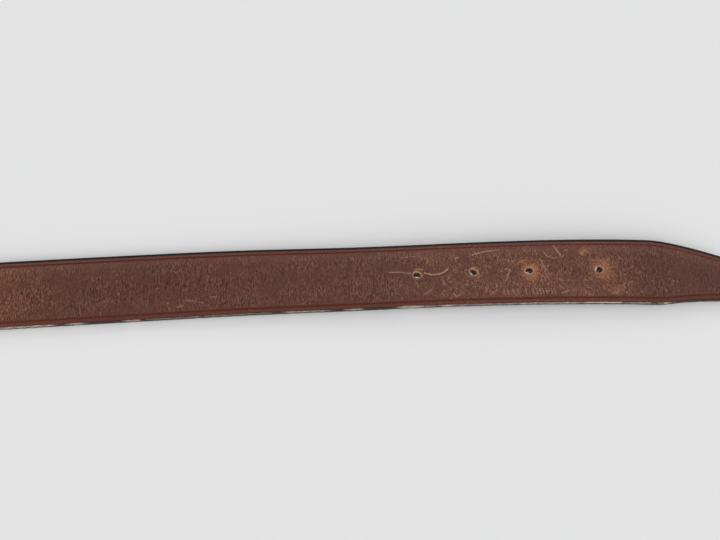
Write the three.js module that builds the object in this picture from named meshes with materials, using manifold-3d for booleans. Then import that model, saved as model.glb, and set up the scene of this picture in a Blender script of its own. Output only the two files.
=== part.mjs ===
// Reversible leather belt, lying face up on a flat surface: two leathers glued back to back and a clamp buckle.
// Millimetres, +Z up, +X towards the tip, +Y to the far edge of the strap.
// The origin is the middle of the belt's own box, on the surface that the belt lies on.
import * as THREE from 'three';
import { mergeVertices } from 'three/addons/utils/BufferGeometryUtils.js';
import Module from 'manifold-3d';

const wasm = await Module();
wasm.setup();

// Strap
const STRAP_WIDTH = 30;
const STRAP_THICKNESS = 3.4;
const GLUE_GAP = 0.3;
const FIT_GAP = 0.3;

// Pointed tip: a round nose, a straight taper on each side and a soft shoulder
const NOSE_RADIUS = 10.3;
const TAPER_ANGLE = THREE.MathUtils.degToRad(9.5);
const SHOULDER_RADIUS = 60;

// Belt size: from the buckle's rear bar to the middle of the row of holes
const WAIST_SIZE = 900;

// Punched holes, from the tip back: place along and aside of the middle line, long and short size, turn
const HOLES = [
  { along: 65.4, aside: 0.35, long: 3.5, short: 2.8, turnDeg: 20 },
  { along: 97, aside: 0.25, long: 3.6, short: 2.7, turnDeg: 14 },
  { along: 122, aside: 0.2, long: 3.2, short: 2.6, turnDeg: -12 },
  { along: 147, aside: -0.1, long: 3.4, short: 2.6, turnDeg: 0 },
];
const HOLE_SIDES = 14;
const PUNCH_HEIGHT = 4 * STRAP_THICKNESS;

// Buckle
const BAR_WIDTH = 5;
const FRAME_LENGTH = 31;
const FRAME_WIDTH = 42;
const FRAME_HEIGHT = 3.4;
const FRAME_CORNER = 5;
const WINDOW_CORNER = 2;
const PRONG_WIDTH = 3.2;
const PRONG_HEIGHT = 2.2;
const PRONG_SEAT = 0.4;
const CLAMP_LENGTH = 16;
const CLAMP_WIDTH = 34;
const CLAMP_HEIGHT = 6.2;
const CLAMP_CORNER = 2;
const CLAMP_GRIP = 13;
const METAL_BEVEL = 0.5;
const CORNER_STEPS = 6;

// Steps of the shapes
const NOSE_STEPS = 8;
const TAPER_STEPS = 3;
const SHOULDER_STEPS = 3;
const BENT_REACH = 300;
const BENT_STEP = 14;
const STRAIGHT_STEP = 25;
const SLOPE_REACH = 0.5;
const LENGTH_DIVISIONS = 2000;
const WELD_DISTANCE = 1e-4;

// The strap's reach, back from the tip
const HOLE_ROW_MIDDLE = (HOLES[0].along + HOLES.at(-1).along) / 2;
const REAR_BAR_BACK = HOLE_ROW_MIDDLE + WAIST_SIZE;
const CLAMP_MOUTH = REAR_BAR_BACK - CLAMP_LENGTH;
const STRAP_END = CLAMP_MOUTH + CLAMP_GRIP - FIT_GAP;
const CLAMP_LIFT = (CLAMP_HEIGHT - STRAP_THICKNESS) / 2;

// The bend of the strap's middle line, seen from above, by distance back from the tip
const BEND = [
  { back: 0, aside: -14.5 },
  { back: 8, aside: -12.35 },
  { back: 26, aside: -8.82 },
  { back: 45, aside: -6.87 },
  { back: 82, aside: -4.83 },
  { back: 118, aside: -3.5 },
  { back: 172, aside: -2.22 },
  { back: 226, aside: -0.57 },
  { back: 283, aside: 0 },
  { back: 400, aside: 0 },
  { back: 700, aside: 0 },
  { back: STRAP_END, aside: 0 },
];
const middleLine = new THREE.CatmullRomCurve3(
  BEND.map(({ back, aside }) => new THREE.Vector3(-back, aside, 0)),
);
middleLine.arcLengthDivisions = LENGTH_DIVISIONS;
const STRAP_LENGTH = middleLine.getLength();

// The crests and hollows of the lying strap: its underside's lift off the surface, by distance along from the tip
const LIFT = [
  { along: 0, lift: 1.0 },
  { along: 86, lift: 2.8 },
  { along: 283, lift: 0 },
  { along: 520, lift: 0 },
  { along: 650, lift: 0.8 },
  { along: 780, lift: 0 },
  { along: 890, lift: 0 },
  { along: STRAP_LENGTH - CLAMP_LENGTH, lift: CLAMP_LIFT },
  { along: STRAP_LENGTH, lift: CLAMP_LIFT },
];

// The strap has stretched where the buckle pulls on it, and is narrower there by this share of its width.
const STRETCH = { along: 156, reach: 70, share: 0.046 };

// Cross-section of the face, from the glued side up: a flat bevelled edge, a stitched margin with a groove for the
// thread, and a raised middle. Insets are from the strap's edge and heights from its underside.
const FACE_SECTION = [
  { inset: 0, height: (STRAP_THICKNESS + GLUE_GAP) / 2 },
  { inset: 0, height: 2.75 },
  { inset: 0.7, height: 3.15 },
  { inset: 1.6, height: 3.2 },
  { inset: 2.3, height: 3.0 },
  { inset: 3.2, height: STRAP_THICKNESS },
];
const REVERSE_SECTION = FACE_SECTION.map(({ inset, height }) => ({
  inset,
  height: STRAP_THICKNESS - height,
})).reverse();

// The lift at one place along the strap, eased from each crest to the next hollow.
function liftAt(along) {
  const within = THREE.MathUtils.clamp(along, 0, STRAP_LENGTH);
  const next = Math.max(1, LIFT.findIndex((row) => row.along >= within));
  const [from, to] = [LIFT[next - 1], LIFT[next]];
  return THREE.MathUtils.lerp(from.lift, to.lift, THREE.MathUtils.smoothstep(within, from.along, to.along));
}

// How wide the stretched strap is at one place, as a share of its full width.
function widthAt(along) {
  return 1 - STRETCH.share * Math.exp(-(((along - STRETCH.along) / STRETCH.reach) ** 2));
}

// The point of the lying strap that belongs to a place on the flat leather.
function onStrap(along, across, height) {
  const reach = along / STRAP_LENGTH;
  const backward = middleLine.getTangentAt(reach);
  const sideways = new THREE.Vector3(backward.y, -backward.x, 0).normalize();
  backward.z = (liftAt(along + SLOPE_REACH) - liftAt(along - SLOPE_REACH)) / (2 * SLOPE_REACH);
  const upward = new THREE.Vector3().crossVectors(sideways, backward).normalize();
  const point = middleLine.getPointAt(reach);
  point.z = liftAt(along);
  return point.addScaledVector(sideways, across * widthAt(along)).addScaledVector(upward, height);
}

// One edge of the flat strap from the nose to the square end: each station's place and its inward direction.
function edgeStations() {
  const stations = [];
  const noseTurn = Math.PI / 2 - TAPER_ANGLE;
  for (let step = 0; step <= NOSE_STEPS; step += 1) {
    const turn = (noseTurn * step) / NOSE_STEPS;
    stations.push({
      along: NOSE_RADIUS * (1 - Math.cos(turn)),
      across: NOSE_RADIUS * Math.sin(turn),
      inward: [Math.cos(turn), -Math.sin(turn)],
    });
  }
  const noseEnd = stations.at(-1);
  const cornerAlong = noseEnd.along + (STRAP_WIDTH / 2 - noseEnd.across) / Math.tan(TAPER_ANGLE);
  const shoulderTangent = SHOULDER_RADIUS * Math.tan(TAPER_ANGLE / 2);
  const shoulderCentre = cornerAlong + shoulderTangent;
  const taperEnd = {
    along: shoulderCentre - SHOULDER_RADIUS * Math.sin(TAPER_ANGLE),
    across: STRAP_WIDTH / 2 - SHOULDER_RADIUS * (1 - Math.cos(TAPER_ANGLE)),
  };
  for (let step = 1; step < TAPER_STEPS; step += 1) {
    stations.push({
      along: THREE.MathUtils.lerp(noseEnd.along, taperEnd.along, step / TAPER_STEPS),
      across: THREE.MathUtils.lerp(noseEnd.across, taperEnd.across, step / TAPER_STEPS),
      inward: [Math.sin(TAPER_ANGLE), -Math.cos(TAPER_ANGLE)],
    });
  }
  for (let step = 0; step <= SHOULDER_STEPS; step += 1) {
    const turn = TAPER_ANGLE * (1 - step / SHOULDER_STEPS);
    stations.push({
      along: shoulderCentre - SHOULDER_RADIUS * Math.sin(turn),
      across: STRAP_WIDTH / 2 - SHOULDER_RADIUS * (1 - Math.cos(turn)),
      inward: [Math.sin(turn), -Math.cos(turn)],
    });
  }
  const addStraight = (from, to, longestStep) => {
    const steps = Math.ceil((to - from) / longestStep);
    for (let step = 1; step <= steps; step += 1) {
      const along = THREE.MathUtils.lerp(from, to, step / steps);
      stations.push({ along, across: STRAP_WIDTH / 2, inward: [0, -1] });
    }
  };
  addStraight(shoulderCentre, BENT_REACH, BENT_STEP);
  addStraight(BENT_REACH, STRAP_LENGTH, STRAIGHT_STEP);
  return stations;
}

// One leather: a ring of points round the strap for each row of its section, closed below, above and at the end.
function leatherGeometry(section) {
  const stations = edgeStations();
  const last = stations.length - 1;
  const positions = [];
  const addPoint = (along, across, height) => {
    positions.push(...onStrap(along, across, height).toArray());
    return positions.length / 3 - 1;
  };
  const rings = section.map(({ inset, height }) => {
    const nose = addPoint(inset, 0, height);
    const ring = { far: [nose], near: [nose] };
    for (const { along, across, inward } of stations.slice(1)) {
      const ringAlong = along + inset * inward[0];
      const ringAcross = across + inset * inward[1];
      ring.far.push(addPoint(ringAlong, ringAcross, height));
      ring.near.push(addPoint(ringAlong, -ringAcross, height));
    }
    return ring;
  });

  const triangles = [];
  const addQuad = (a, b, c, d) => {
    if (a !== b && b !== c) triangles.push(a, b, c);
    if (c !== d && d !== a) triangles.push(a, c, d);
  };
  const bottom = rings[0];
  const top = rings.at(-1);
  for (let i = 0; i < last; i += 1) {
    addQuad(top.far[i], top.far[i + 1], top.near[i + 1], top.near[i]);
    addQuad(bottom.near[i], bottom.near[i + 1], bottom.far[i + 1], bottom.far[i]);
    for (let k = 0; k + 1 < rings.length; k += 1) {
      const [low, high] = [rings[k], rings[k + 1]];
      addQuad(low.far[i], low.far[i + 1], high.far[i + 1], high.far[i]);
      addQuad(high.near[i], high.near[i + 1], low.near[i + 1], low.near[i]);
    }
  }
  for (let k = 0; k + 1 < rings.length; k += 1) {
    const [low, high] = [rings[k], rings[k + 1]];
    addQuad(low.far[last], low.near[last], high.near[last], high.far[last]);
  }

  const geometry = new THREE.BufferGeometry();
  geometry.setAttribute('position', new THREE.Float32BufferAttribute(positions, 3));
  geometry.setIndex(triangles);
  return geometry;
}

// A closed solid that can be cut and joined, from a closed three.js geometry.
function toSolid(geometry) {
  const bare = geometry.clone();
  bare.deleteAttribute('normal');
  bare.deleteAttribute('uv');
  const merged = mergeVertices(bare, WELD_DISTANCE);
  return new wasm.Manifold(new wasm.Mesh({
    numProp: 3,
    vertProperties: new Float32Array(merged.attributes.position.array),
    triVerts: new Uint32Array(merged.index.array),
  }));
}

function toGeometry(solid) {
  const mesh = solid.getMesh();
  const geometry = new THREE.BufferGeometry();
  geometry.setAttribute('position', new THREE.BufferAttribute(mesh.vertProperties, 3));
  geometry.setIndex(new THREE.BufferAttribute(mesh.triVerts, 1));
  geometry.computeVertexNormals();
  return geometry;
}

// The punch that makes one hole: an upright oval prism through both leathers.
function punchSolid({ along, aside, long, short, turnDeg }) {
  const oval = new THREE.Shape().absellipse(0, 0, long / 2, short / 2, 0, 2 * Math.PI);
  const punch = new THREE.ExtrudeGeometry(new THREE.Shape(oval.getSpacedPoints(HOLE_SIDES)), {
    depth: PUNCH_HEIGHT,
    steps: 1,
    bevelEnabled: false,
  });
  const middle = onStrap(along, aside, 0);
  punch.rotateZ(THREE.MathUtils.degToRad(turnDeg));
  punch.translate(middle.x, middle.y, middle.z - PUNCH_HEIGHT / 2);
  return toSolid(punch);
}

function punchedLeather(section) {
  const punched = HOLES.reduce(
    (leather, hole) => leather.subtract(punchSolid(hole)),
    toSolid(leatherGeometry(section)),
  );
  return toGeometry(punched);
}

// A rectangle with round corners from its lowest corner and its size.
function roundedRectangle(x, y, length, width, corner) {
  const outline = new THREE.Shape();
  outline.moveTo(x + corner, y);
  outline.lineTo(x + length - corner, y);
  outline.absarc(x + length - corner, y + corner, corner, -Math.PI / 2, 0);
  outline.lineTo(x + length, y + width - corner);
  outline.absarc(x + length - corner, y + width - corner, corner, 0, Math.PI / 2);
  outline.lineTo(x + corner, y + width);
  outline.absarc(x + corner, y + width - corner, corner, Math.PI / 2, Math.PI);
  outline.lineTo(x, y + corner);
  outline.absarc(x + corner, y + corner, corner, Math.PI, 1.5 * Math.PI);
  return outline;
}

// A metal plate that stands on the surface, its outline softened by a narrow bevel above and below.
function bevelledPlate(outline, height) {
  const plate = new THREE.ExtrudeGeometry(outline, {
    depth: height - 2 * METAL_BEVEL,
    bevelThickness: METAL_BEVEL,
    bevelSize: METAL_BEVEL,
    bevelOffset: -METAL_BEVEL,
    bevelSegments: 1,
    curveSegments: CORNER_STEPS,
  });
  return plate.translate(0, 0, METAL_BEVEL);
}

// The window frame that the strap's free end passes through, from the rear bar to the front bar.
function frameSolid() {
  const rear = BAR_WIDTH / 2;
  const outline = roundedRectangle(rear - FRAME_LENGTH, -FRAME_WIDTH / 2, FRAME_LENGTH, FRAME_WIDTH, FRAME_CORNER);
  outline.holes.push(roundedRectangle(
    rear - FRAME_LENGTH + BAR_WIDTH,
    BAR_WIDTH - FRAME_WIDTH / 2,
    FRAME_LENGTH - 2 * BAR_WIDTH,
    FRAME_WIDTH - 2 * BAR_WIDTH,
    WINDOW_CORNER,
  ));
  return toSolid(bevelledPlate(outline, FRAME_HEIGHT));
}

// The prong, seated a little way into the tops of both bars, with its round point on the front bar.
function prongSolid() {
  const length = FRAME_LENGTH - BAR_WIDTH / 2 - METAL_BEVEL;
  const outline = new THREE.Shape();
  outline.moveTo(0, -PRONG_WIDTH / 2);
  outline.lineTo(0, PRONG_WIDTH / 2);
  outline.lineTo(PRONG_WIDTH / 2 - length, PRONG_WIDTH / 2);
  outline.absarc(PRONG_WIDTH / 2 - length, 0, PRONG_WIDTH / 2, Math.PI / 2, 1.5 * Math.PI);
  const prong = new THREE.ExtrudeGeometry(outline, {
    depth: PRONG_HEIGHT,
    bevelEnabled: false,
    curveSegments: CORNER_STEPS,
  });
  prong.translate(0, 0, FRAME_HEIGHT - PRONG_SEAT);
  return toSolid(prong);
}

// The clamp, an upright block with a slot for the strap's square end.
function clampSolid() {
  const block = toSolid(bevelledPlate(
    roundedRectangle(0, -CLAMP_WIDTH / 2, CLAMP_LENGTH, CLAMP_WIDTH, CLAMP_CORNER),
    CLAMP_HEIGHT,
  ));
  const slotHeight = STRAP_THICKNESS + 2 * FIT_GAP;
  const slot = new THREE.BoxGeometry(2 * CLAMP_GRIP, STRAP_WIDTH + 2 * FIT_GAP, slotHeight);
  slot.translate(CLAMP_LENGTH, 0, CLAMP_HEIGHT / 2);
  return block.subtract(toSolid(slot));
}

// Named materials
const brownLeather = new THREE.MeshStandardMaterial({ color: 0x64463a, roughness: 0.6, metalness: 0 });
const blackLeather = new THREE.MeshStandardMaterial({ color: 0x1d1a19, roughness: 0.55, metalness: 0 });
const brushedSteel = new THREE.MeshStandardMaterial({ color: 0xb4b3ae, roughness: 0.32, metalness: 1 });

function namedMesh(name, geometry, material) {
  const mesh = new THREE.Mesh(geometry, material);
  mesh.name = name;
  return mesh;
}

const buckle = namedMesh(
  'buckle',
  toGeometry(frameSolid().add(prongSolid()).add(clampSolid())),
  brushedSteel,
);
buckle.position.x = -REAR_BAR_BACK;

const belt = new THREE.Group();
belt.add(namedMesh('face_leather', punchedLeather(FACE_SECTION), brownLeather));
belt.add(namedMesh('reverse_leather', punchedLeather(REVERSE_SECTION), blackLeather));
belt.add(buckle);

// The frame's origin goes to the middle of the belt's box, on the surface.
const box = new THREE.Box3().setFromObject(belt, true);
const middle = box.getCenter(new THREE.Vector3());
belt.position.set(-middle.x, -middle.y, -box.min.z);
belt.updateMatrixWorld(true);

export default belt;
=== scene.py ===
# %% [markdown]
# A worn reversible dress belt lies face up on a pale surface. It is two leathers glued back to back, brown
# over black, sewn along both edges with dark red thread, painted black round the edge and punched with four
# holes. The tip end is close to the camera and shows every scratch. The rest of the strap and the buckle
# lie outside the picture, and they get the same care.
#
# The belt could be modelled where it lies, but a maker cuts leather flat and lays it down afterwards. So
# every leather piece here is drawn flat in millimetres, and one function then lays it along the strap's
# real curve.

# %% The tools and the frame
import math
import random

import bmesh
import bpy
import numpy as np
from mathutils import Matrix, Vector, noise


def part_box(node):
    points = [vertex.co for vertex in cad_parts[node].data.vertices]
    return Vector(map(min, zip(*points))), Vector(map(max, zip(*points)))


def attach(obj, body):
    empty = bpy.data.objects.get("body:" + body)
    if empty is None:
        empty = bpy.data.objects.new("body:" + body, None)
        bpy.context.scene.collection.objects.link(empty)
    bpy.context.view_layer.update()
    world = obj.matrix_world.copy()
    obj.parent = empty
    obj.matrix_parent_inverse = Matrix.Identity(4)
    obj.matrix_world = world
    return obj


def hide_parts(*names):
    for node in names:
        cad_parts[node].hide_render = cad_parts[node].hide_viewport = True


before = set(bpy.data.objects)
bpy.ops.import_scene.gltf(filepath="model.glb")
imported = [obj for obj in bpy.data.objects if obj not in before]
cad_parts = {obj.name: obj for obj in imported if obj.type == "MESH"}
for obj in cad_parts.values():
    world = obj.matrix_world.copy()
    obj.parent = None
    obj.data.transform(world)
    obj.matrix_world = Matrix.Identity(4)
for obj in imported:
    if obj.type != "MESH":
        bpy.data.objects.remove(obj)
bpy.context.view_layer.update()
print("nodes in the frame:", sorted(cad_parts))

# %% [markdown]
# The driving sizes are those of the construction: a 30 mm strap, 3.4 mm thick, with a round nose, a
# straight taper and a soft shoulder. They are millimetres here, and MM turns them into Blender's metres at
# the end. What comes in rows is a table with a name for each column. A hole has its place back from the tip
# and aside of the middle line, its two sizes and its turn. The prong has dragged it out to a point on one
# side and torn a lip on another, so it also has the direction of each, how far out the point stands and how
# deep the lip reaches in.


# %% The strap's sizes in millimetres
def table(columns, *rows):
    """Rows of values as dictionaries, with the columns' names as keys."""
    return [dict(zip(columns.split(), row)) for row in rows]


MM = 0.001
STRAP_WIDTH = 30.0
STRAP_THICKNESS = 3.4
GLUE_GAP = 0.3
NOSE_RADIUS = 10.3
TAPER_ANGLE = math.radians(9.5)
SHOULDER_RADIUS = 60.0
WAIST_SIZE = 900.0
FRAME_LENGTH = 31.0
BAR_WIDTH = 5.0
CLAMP_LENGTH = 16.0
CLAMP_GRIP = 13.0
FIT_GAP = 0.3
HOLES = table(
    "along aside long short turn point sharp lip deep",
    (65.4, 0.35, 3.5, 2.8, 20, 180, 0.45, 165, 0.75),
    (97.0, 0.25, 3.6, 2.7, 14, 195, 0.35, 228, 0.85),
    (122.0, 0.2, 3.2, 2.6, -12, 120, 0.1, 215, 0.8),
    (147.0, -0.1, 3.4, 2.6, 0, 20, 0.1, 265, 0.9),
)
REAR_BAR_BACK = (HOLES[0]["along"] + HOLES[-1]["along"]) / 2 + WAIST_SIZE
STRAP_END = REAR_BAR_BACK - CLAMP_LENGTH + CLAMP_GRIP - FIT_GAP
print(f"the strap ends {STRAP_END:.1f} mm behind its tip")

# %% [markdown]
# The strap isn't straight. Years on a waist gave the tip a slight sideways bend and low crests. The bend is
# a smooth curve through a few places, and the crests are eased from one place to the next. The curve is the
# centripetal kind, which makes no loops between places that are unevenly far apart. Where the buckle has
# pulled for years, beside the last hole, the leather has stretched and is a little narrower.

# %% The curve that the strap lies along
BEND_AT_BACK = (
    (0, -14.5), (8, -12.35), (26, -8.82), (45, -6.87), (82, -4.83), (118, -3.5), (172, -2.22), (226, -0.57),
    (283, 0), (400, 0), (700, 0), (STRAP_END, 0),
)
LINE_STEPS = 120
LINE_OVERRUN = 5.0


def smooth_line(places):
    """Points on the centripetal curve through the places, with a short straight run past both ends."""
    knots = np.vstack([2 * places[0] - places[1], places, 2 * places[-1] - places[-2]])
    gaps = np.sqrt(np.linalg.norm(np.diff(knots, axis=0), axis=1))
    t = np.linspace(0, 1, LINE_STEPS, endpoint=False)[:, None]
    points = []
    for i in range(1, len(knots) - 2):
        before, start, end, after = knots[i - 1:i + 3]
        gap_0, gap_1, gap_2 = gaps[i - 1:i + 2]
        leave = (start - before) / gap_0 - (end - before) / (gap_0 + gap_1) + (end - start) / gap_1
        reach = (end - start) / gap_1 - (after - start) / (gap_1 + gap_2) + (after - end) / gap_2
        leave = leave * gap_1
        reach = reach * gap_1
        bow = -3 * start + 3 * end - 2 * leave - reach
        twist = 2 * start - 2 * end + leave + reach
        points.append(start + leave * t + bow * t ** 2 + twist * t ** 3)
    points = np.vstack(points + [places[-1:]])
    first = points[0] - points[1]
    last = points[-1] - points[-2]
    head = points[0] + first / np.linalg.norm(first) * LINE_OVERRUN
    tail = points[-1] + last / np.linalg.norm(last) * LINE_OVERRUN
    return np.vstack([head, points, tail])


line = smooth_line(np.array([(-back, aside) for back, aside in BEND_AT_BACK], float))
line_along = np.concatenate([[0], np.cumsum(np.linalg.norm(np.diff(line, axis=0), axis=1))]) - LINE_OVERRUN
line_heading = np.gradient(line, line_along, axis=0)
STRAP_LENGTH = line_along[-1] - LINE_OVERRUN
CLAMP_LIFT = 1.4
LIFT_AT_ALONG = (
    (0, 1.0), (86, 2.8), (283, 0), (520, 0), (650, 0.8), (780, 0), (890, 0),
    (STRAP_LENGTH - CLAMP_LENGTH, CLAMP_LIFT), (STRAP_LENGTH, CLAMP_LIFT),
)
SLOPE_REACH = 0.5
STRETCH = {"along": 156.0, "reach": 70.0, "share": 0.046}
print(f"the strap is {STRAP_LENGTH:.1f} mm long along its middle line")


# %% The function that lays flat leather down
def lift_at(along):
    """How high the strap's underside is off the surface."""
    places, lifts = np.array(LIFT_AT_ALONG).T
    position = np.interp(along, places, range(len(places)))
    step = np.minimum(position.astype(int), len(places) - 2)
    part = position - step
    eased = part * part * (3 - 2 * part)
    return lifts[step] + (lifts[step + 1] - lifts[step]) * eased


def width_at(along):
    """How wide the stretched strap is at one place, as a share of its full width."""
    return 1 - STRETCH["share"] * np.exp(-((along - STRETCH["along"]) / STRETCH["reach"]) ** 2)


buckle_low, buckle_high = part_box("buckle")
rear_bar_x = buckle_low.x / MM + FRAME_LENGTH - BAR_WIDTH / 2
middle_y = (buckle_low.y + buckle_high.y) / 2 / MM
TIP = np.array([rear_bar_x + REAR_BAR_BACK, middle_y])
print("the bend's own origin, in mm:", TIP.round(3))


def on_strap(flat):
    """Turns flat places in mm (x is minus the distance from the tip) into points of the lying strap in m."""
    along = -flat[:, 0]
    heading = np.stack([np.interp(along, line_along, line_heading[:, i]) for i in (0, 1)], axis=1)
    heading /= np.linalg.norm(heading, axis=1)[:, None]
    sideways = np.stack([heading[:, 1], -heading[:, 0]], axis=1)
    slope = (lift_at(along + SLOPE_REACH) - lift_at(along - SLOPE_REACH)) / (2 * SLOPE_REACH)
    upward = np.column_stack([-heading * slope[:, None], np.ones(len(flat))])
    upward /= np.linalg.norm(upward, axis=1)[:, None]
    middle = np.stack([np.interp(along, line_along, line[:, i]) for i in (0, 1)], axis=1) + TIP
    across = flat[:, 1:2] * width_at(along)[:, None]
    points = np.column_stack([middle + sideways * across, lift_at(along)])
    return (points + upward * flat[:, 2:3]) * MM


# %% [markdown]
# Wear follows the belt and not the room: a halo sits round a hole, a pit under a stitch, fibre on a rim. So
# each vertex keeps where it was on the flat leather. belt_place holds its distance from the tip, its place
# across and its height. belt_edge holds its distance in from the rim, how far along the seam it is, and its
# distance from the nearest hole. They are worked out from the outline's own lines and arcs, before the
# leather is laid down.

# %% Places measured on the flat leather
NOSE_TURN = math.pi / 2 - TAPER_ANGLE
nose_end = Vector((-NOSE_RADIUS * (1 - math.cos(NOSE_TURN)), NOSE_RADIUS * math.sin(NOSE_TURN), 0))
corner_along = -nose_end.x + (STRAP_WIDTH / 2 - nose_end.y) / math.tan(TAPER_ANGLE)
shoulder_along = corner_along + SHOULDER_RADIUS * math.tan(TAPER_ANGLE / 2)
taper_end = Vector((
    SHOULDER_RADIUS * math.sin(TAPER_ANGLE) - shoulder_along,
    STRAP_WIDTH / 2 - SHOULDER_RADIUS * (1 - math.cos(TAPER_ANGLE)),
    0,
))
TAPER_LENGTH = (taper_end - nose_end).length
SEAM_INSET = 2.3
SEAM_NOSE = (NOSE_RADIUS - SEAM_INSET) * NOSE_TURN
SEAM_TAPER = SEAM_NOSE + TAPER_LENGTH
SEAM_SHOULDER = SEAM_TAPER + (SHOULDER_RADIUS - SEAM_INSET) * TAPER_ANGLE
NO_HOLE_NEAR = 9.0
UNEVEN_SHARES = (0.07, 0.05)
POINT_SPREAD = 0.45
print(f"the seam runs {SEAM_SHOULDER:.1f} mm from the nose to the straight edge")


def inset_and_seam(x, y):
    """Each place's distance in from the rim, and its distance along the seam from the nose."""
    across = np.abs(y)
    nose_angle = np.arctan2(across, x + NOSE_RADIUS)
    nose_inset = NOSE_RADIUS - np.hypot(x + NOSE_RADIUS, across)
    taper_run = (nose_end.x - x) * math.cos(TAPER_ANGLE) + (across - nose_end.y) * math.sin(TAPER_ANGLE)
    taper_inset = (nose_end.x - x) * math.sin(TAPER_ANGLE) - (across - nose_end.y) * math.cos(TAPER_ANGLE)
    centre_y = STRAP_WIDTH / 2 - SHOULDER_RADIUS
    shoulder_angle = np.arctan2(x + shoulder_along, across - centre_y)
    shoulder_inset = SHOULDER_RADIUS - np.hypot(x + shoulder_along, across - centre_y)
    zones = [
        (nose_angle < NOSE_TURN) & (x > -NOSE_RADIUS),
        (taper_run < TAPER_LENGTH) & (shoulder_angle > 0),
        shoulder_angle > 0,
    ]
    inset = np.select(zones, [nose_inset, taper_inset, shoulder_inset], STRAP_WIDTH / 2 - across)
    seam = np.select(zones, [
        nose_angle * (NOSE_RADIUS - SEAM_INSET),
        SEAM_NOSE + taper_run,
        SEAM_TAPER + (TAPER_ANGLE - shoulder_angle) * (SHOULDER_RADIUS - SEAM_INSET),
    ], SEAM_SHOULDER - x - shoulder_along)
    return inset, seam


# %% Distances from the holes
def hole_radius(hole, angle, layer):
    """The radius of a hole towards one angle: an oval drawn out to a point, a little uneven in each layer."""
    half_long = hole["long"] / 2
    half_short = hole["short"] / 2
    turned = angle - math.radians(hole["turn"])
    oval = half_long * half_short / np.hypot(half_short * np.cos(turned), half_long * np.sin(turned))
    off_point = np.angle(np.exp(1j * (angle - math.radians(hole["point"]))))
    twofold, threefold = UNEVEN_SHARES
    uneven = twofold * np.cos(2 * angle + layer + hole["along"]) + threefold * np.cos(3 * angle + 2 * layer)
    return oval * (1 + uneven) + hole["sharp"] * np.exp(-(off_point / POINT_SPREAD) ** 2)


def hole_gap(x, y, layer):
    """Each place's distance from the rim of the nearest hole."""
    gaps = [np.full(len(x), NO_HOLE_NEAR)]
    for hole in HOLES:
        dx = x + hole["along"]
        dy = y - hole["aside"]
        gaps.append(np.hypot(dx, dy) - hole_radius(hole, np.arctan2(dy, dx), layer))
    return np.minimum.reduce(gaps)


print("the rim of the first hole towards the tip, in mm:", hole_radius(HOLES[0], 0.0, 0.0).round(2))


# %% Places kept on the mesh
def read_vectors(data, field, count):
    """The vectors of a mesh's vertices or of one of its attributes, as rows."""
    values = np.empty(count * 3)
    data.foreach_get(field, values)
    return values.reshape(-1, 3)


def keep(mesh, name, values, domain="POINT"):
    """Stores a number or a vector for each vertex or face."""
    kind, field = ("FLOAT_VECTOR", "vector") if values.ndim == 2 else ("FLOAT", "value")
    mesh.attributes.new(name, kind, domain).data.foreach_set(field, values.ravel())


def lay_down(mesh, layer):
    """Stores where each vertex is on the flat leather, then lays the mesh along the strap."""
    flat = read_vectors(mesh.vertices, "co", len(mesh.vertices))
    x, y, height = flat.T
    inset, seam = inset_and_seam(x, y)
    keep(mesh, "belt_place", np.column_stack([-x, y, height]))
    keep(mesh, "belt_edge", np.column_stack([inset, seam, hole_gap(x, y, layer)]))
    mesh.vertices.foreach_set("co", on_strap(flat).ravel())
    mesh.update()


# %% [markdown]
# Small helpers finish every piece in the same way. A mesh is made of a bmesh, its faces are shaded smooth
# and its real corners stay sharp, and the piece is hung on the belt's one body and told which finish it
# takes.

# %% Helpers that make and finish a piece
SHARP_ANGLE = math.radians(38)
WELD = 0.001
ROUND_STEPS = 4


def verts_in(geom):
    return [g for g in geom if isinstance(g, bmesh.types.BMVert)]


def raise_faces(bm, faces):
    """Extrudes faces, keeps them as the underside, and returns what was made."""
    return bmesh.ops.extrude_face_region(bm, geom=faces, use_keep_orig=True)["geom"]


def round_off(bm, geom, offset, segments=ROUND_STEPS, affect="EDGES"):
    """Bevels edges or corners with an even round."""
    return bmesh.ops.bevel(
        bm, geom=geom, offset=offset, offset_type="OFFSET", segments=segments, profile=0.5,
        affect=affect, clamp_overlap=False, material=-1,
    )


def inset_faces(bm, faces, thickness):
    bmesh.ops.inset_region(bm, faces=faces, thickness=thickness, use_boundary=True, use_even_offset=True)


def to_piece(bm, name, laid=True, layer=0.0):
    """Makes an object of a flat bmesh in millimetres, laid along the strap or placed as it is."""
    bmesh.ops.recalc_face_normals(bm, faces=bm.faces[:])
    mesh = bpy.data.meshes.new(name)
    bm.to_mesh(mesh)
    bm.free()
    if laid:
        lay_down(mesh, layer)
    mesh.shade_smooth()
    mesh.set_sharp_from_angle(angle=SHARP_ANGLE)
    piece = bpy.data.objects.new(name, mesh)
    bpy.context.scene.collection.objects.link(piece)
    return piece


def join_belt(piece, material, slot, *nodes):
    """Gives a piece its finish and makes it part of the belt, in place of the plain solids it stands for."""
    piece.data.materials.clear()
    piece.data.materials.append(material)
    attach(piece, "root")
    if nodes:
        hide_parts(*nodes)
    piece.data.calc_loop_triangles()
    print(f"{piece.name}: {len(piece.data.loop_triangles)} triangles")


# %% [markdown]
# The strap's outline is drawn as a saddler draws it round a template: an arc for the nose, a straight line
# for the taper, a long arc for the shoulder, and straight edges to the square end. One vertex is spun and
# extruded into half of that line, and a mirror makes the other half. Listing the points by hand would be
# exact too, but spin keeps each arc an arc when its radius changes.

# %% The outline of the strap
NOSE_STEPS = 14
SHOULDER_STEPS = 8
FINE_REACH = 350.0
FINE_STEP = 1.1
COARSE_STEP = 6.0


def extrude_point(bm, point, place):
    """Draws a straight line on from a point, and returns its end and the line."""
    made = bmesh.ops.extrude_vert_indiv(bm, verts=[point])
    made["verts"][0].co = place
    return made["verts"][0], made["edges"][0]


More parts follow.
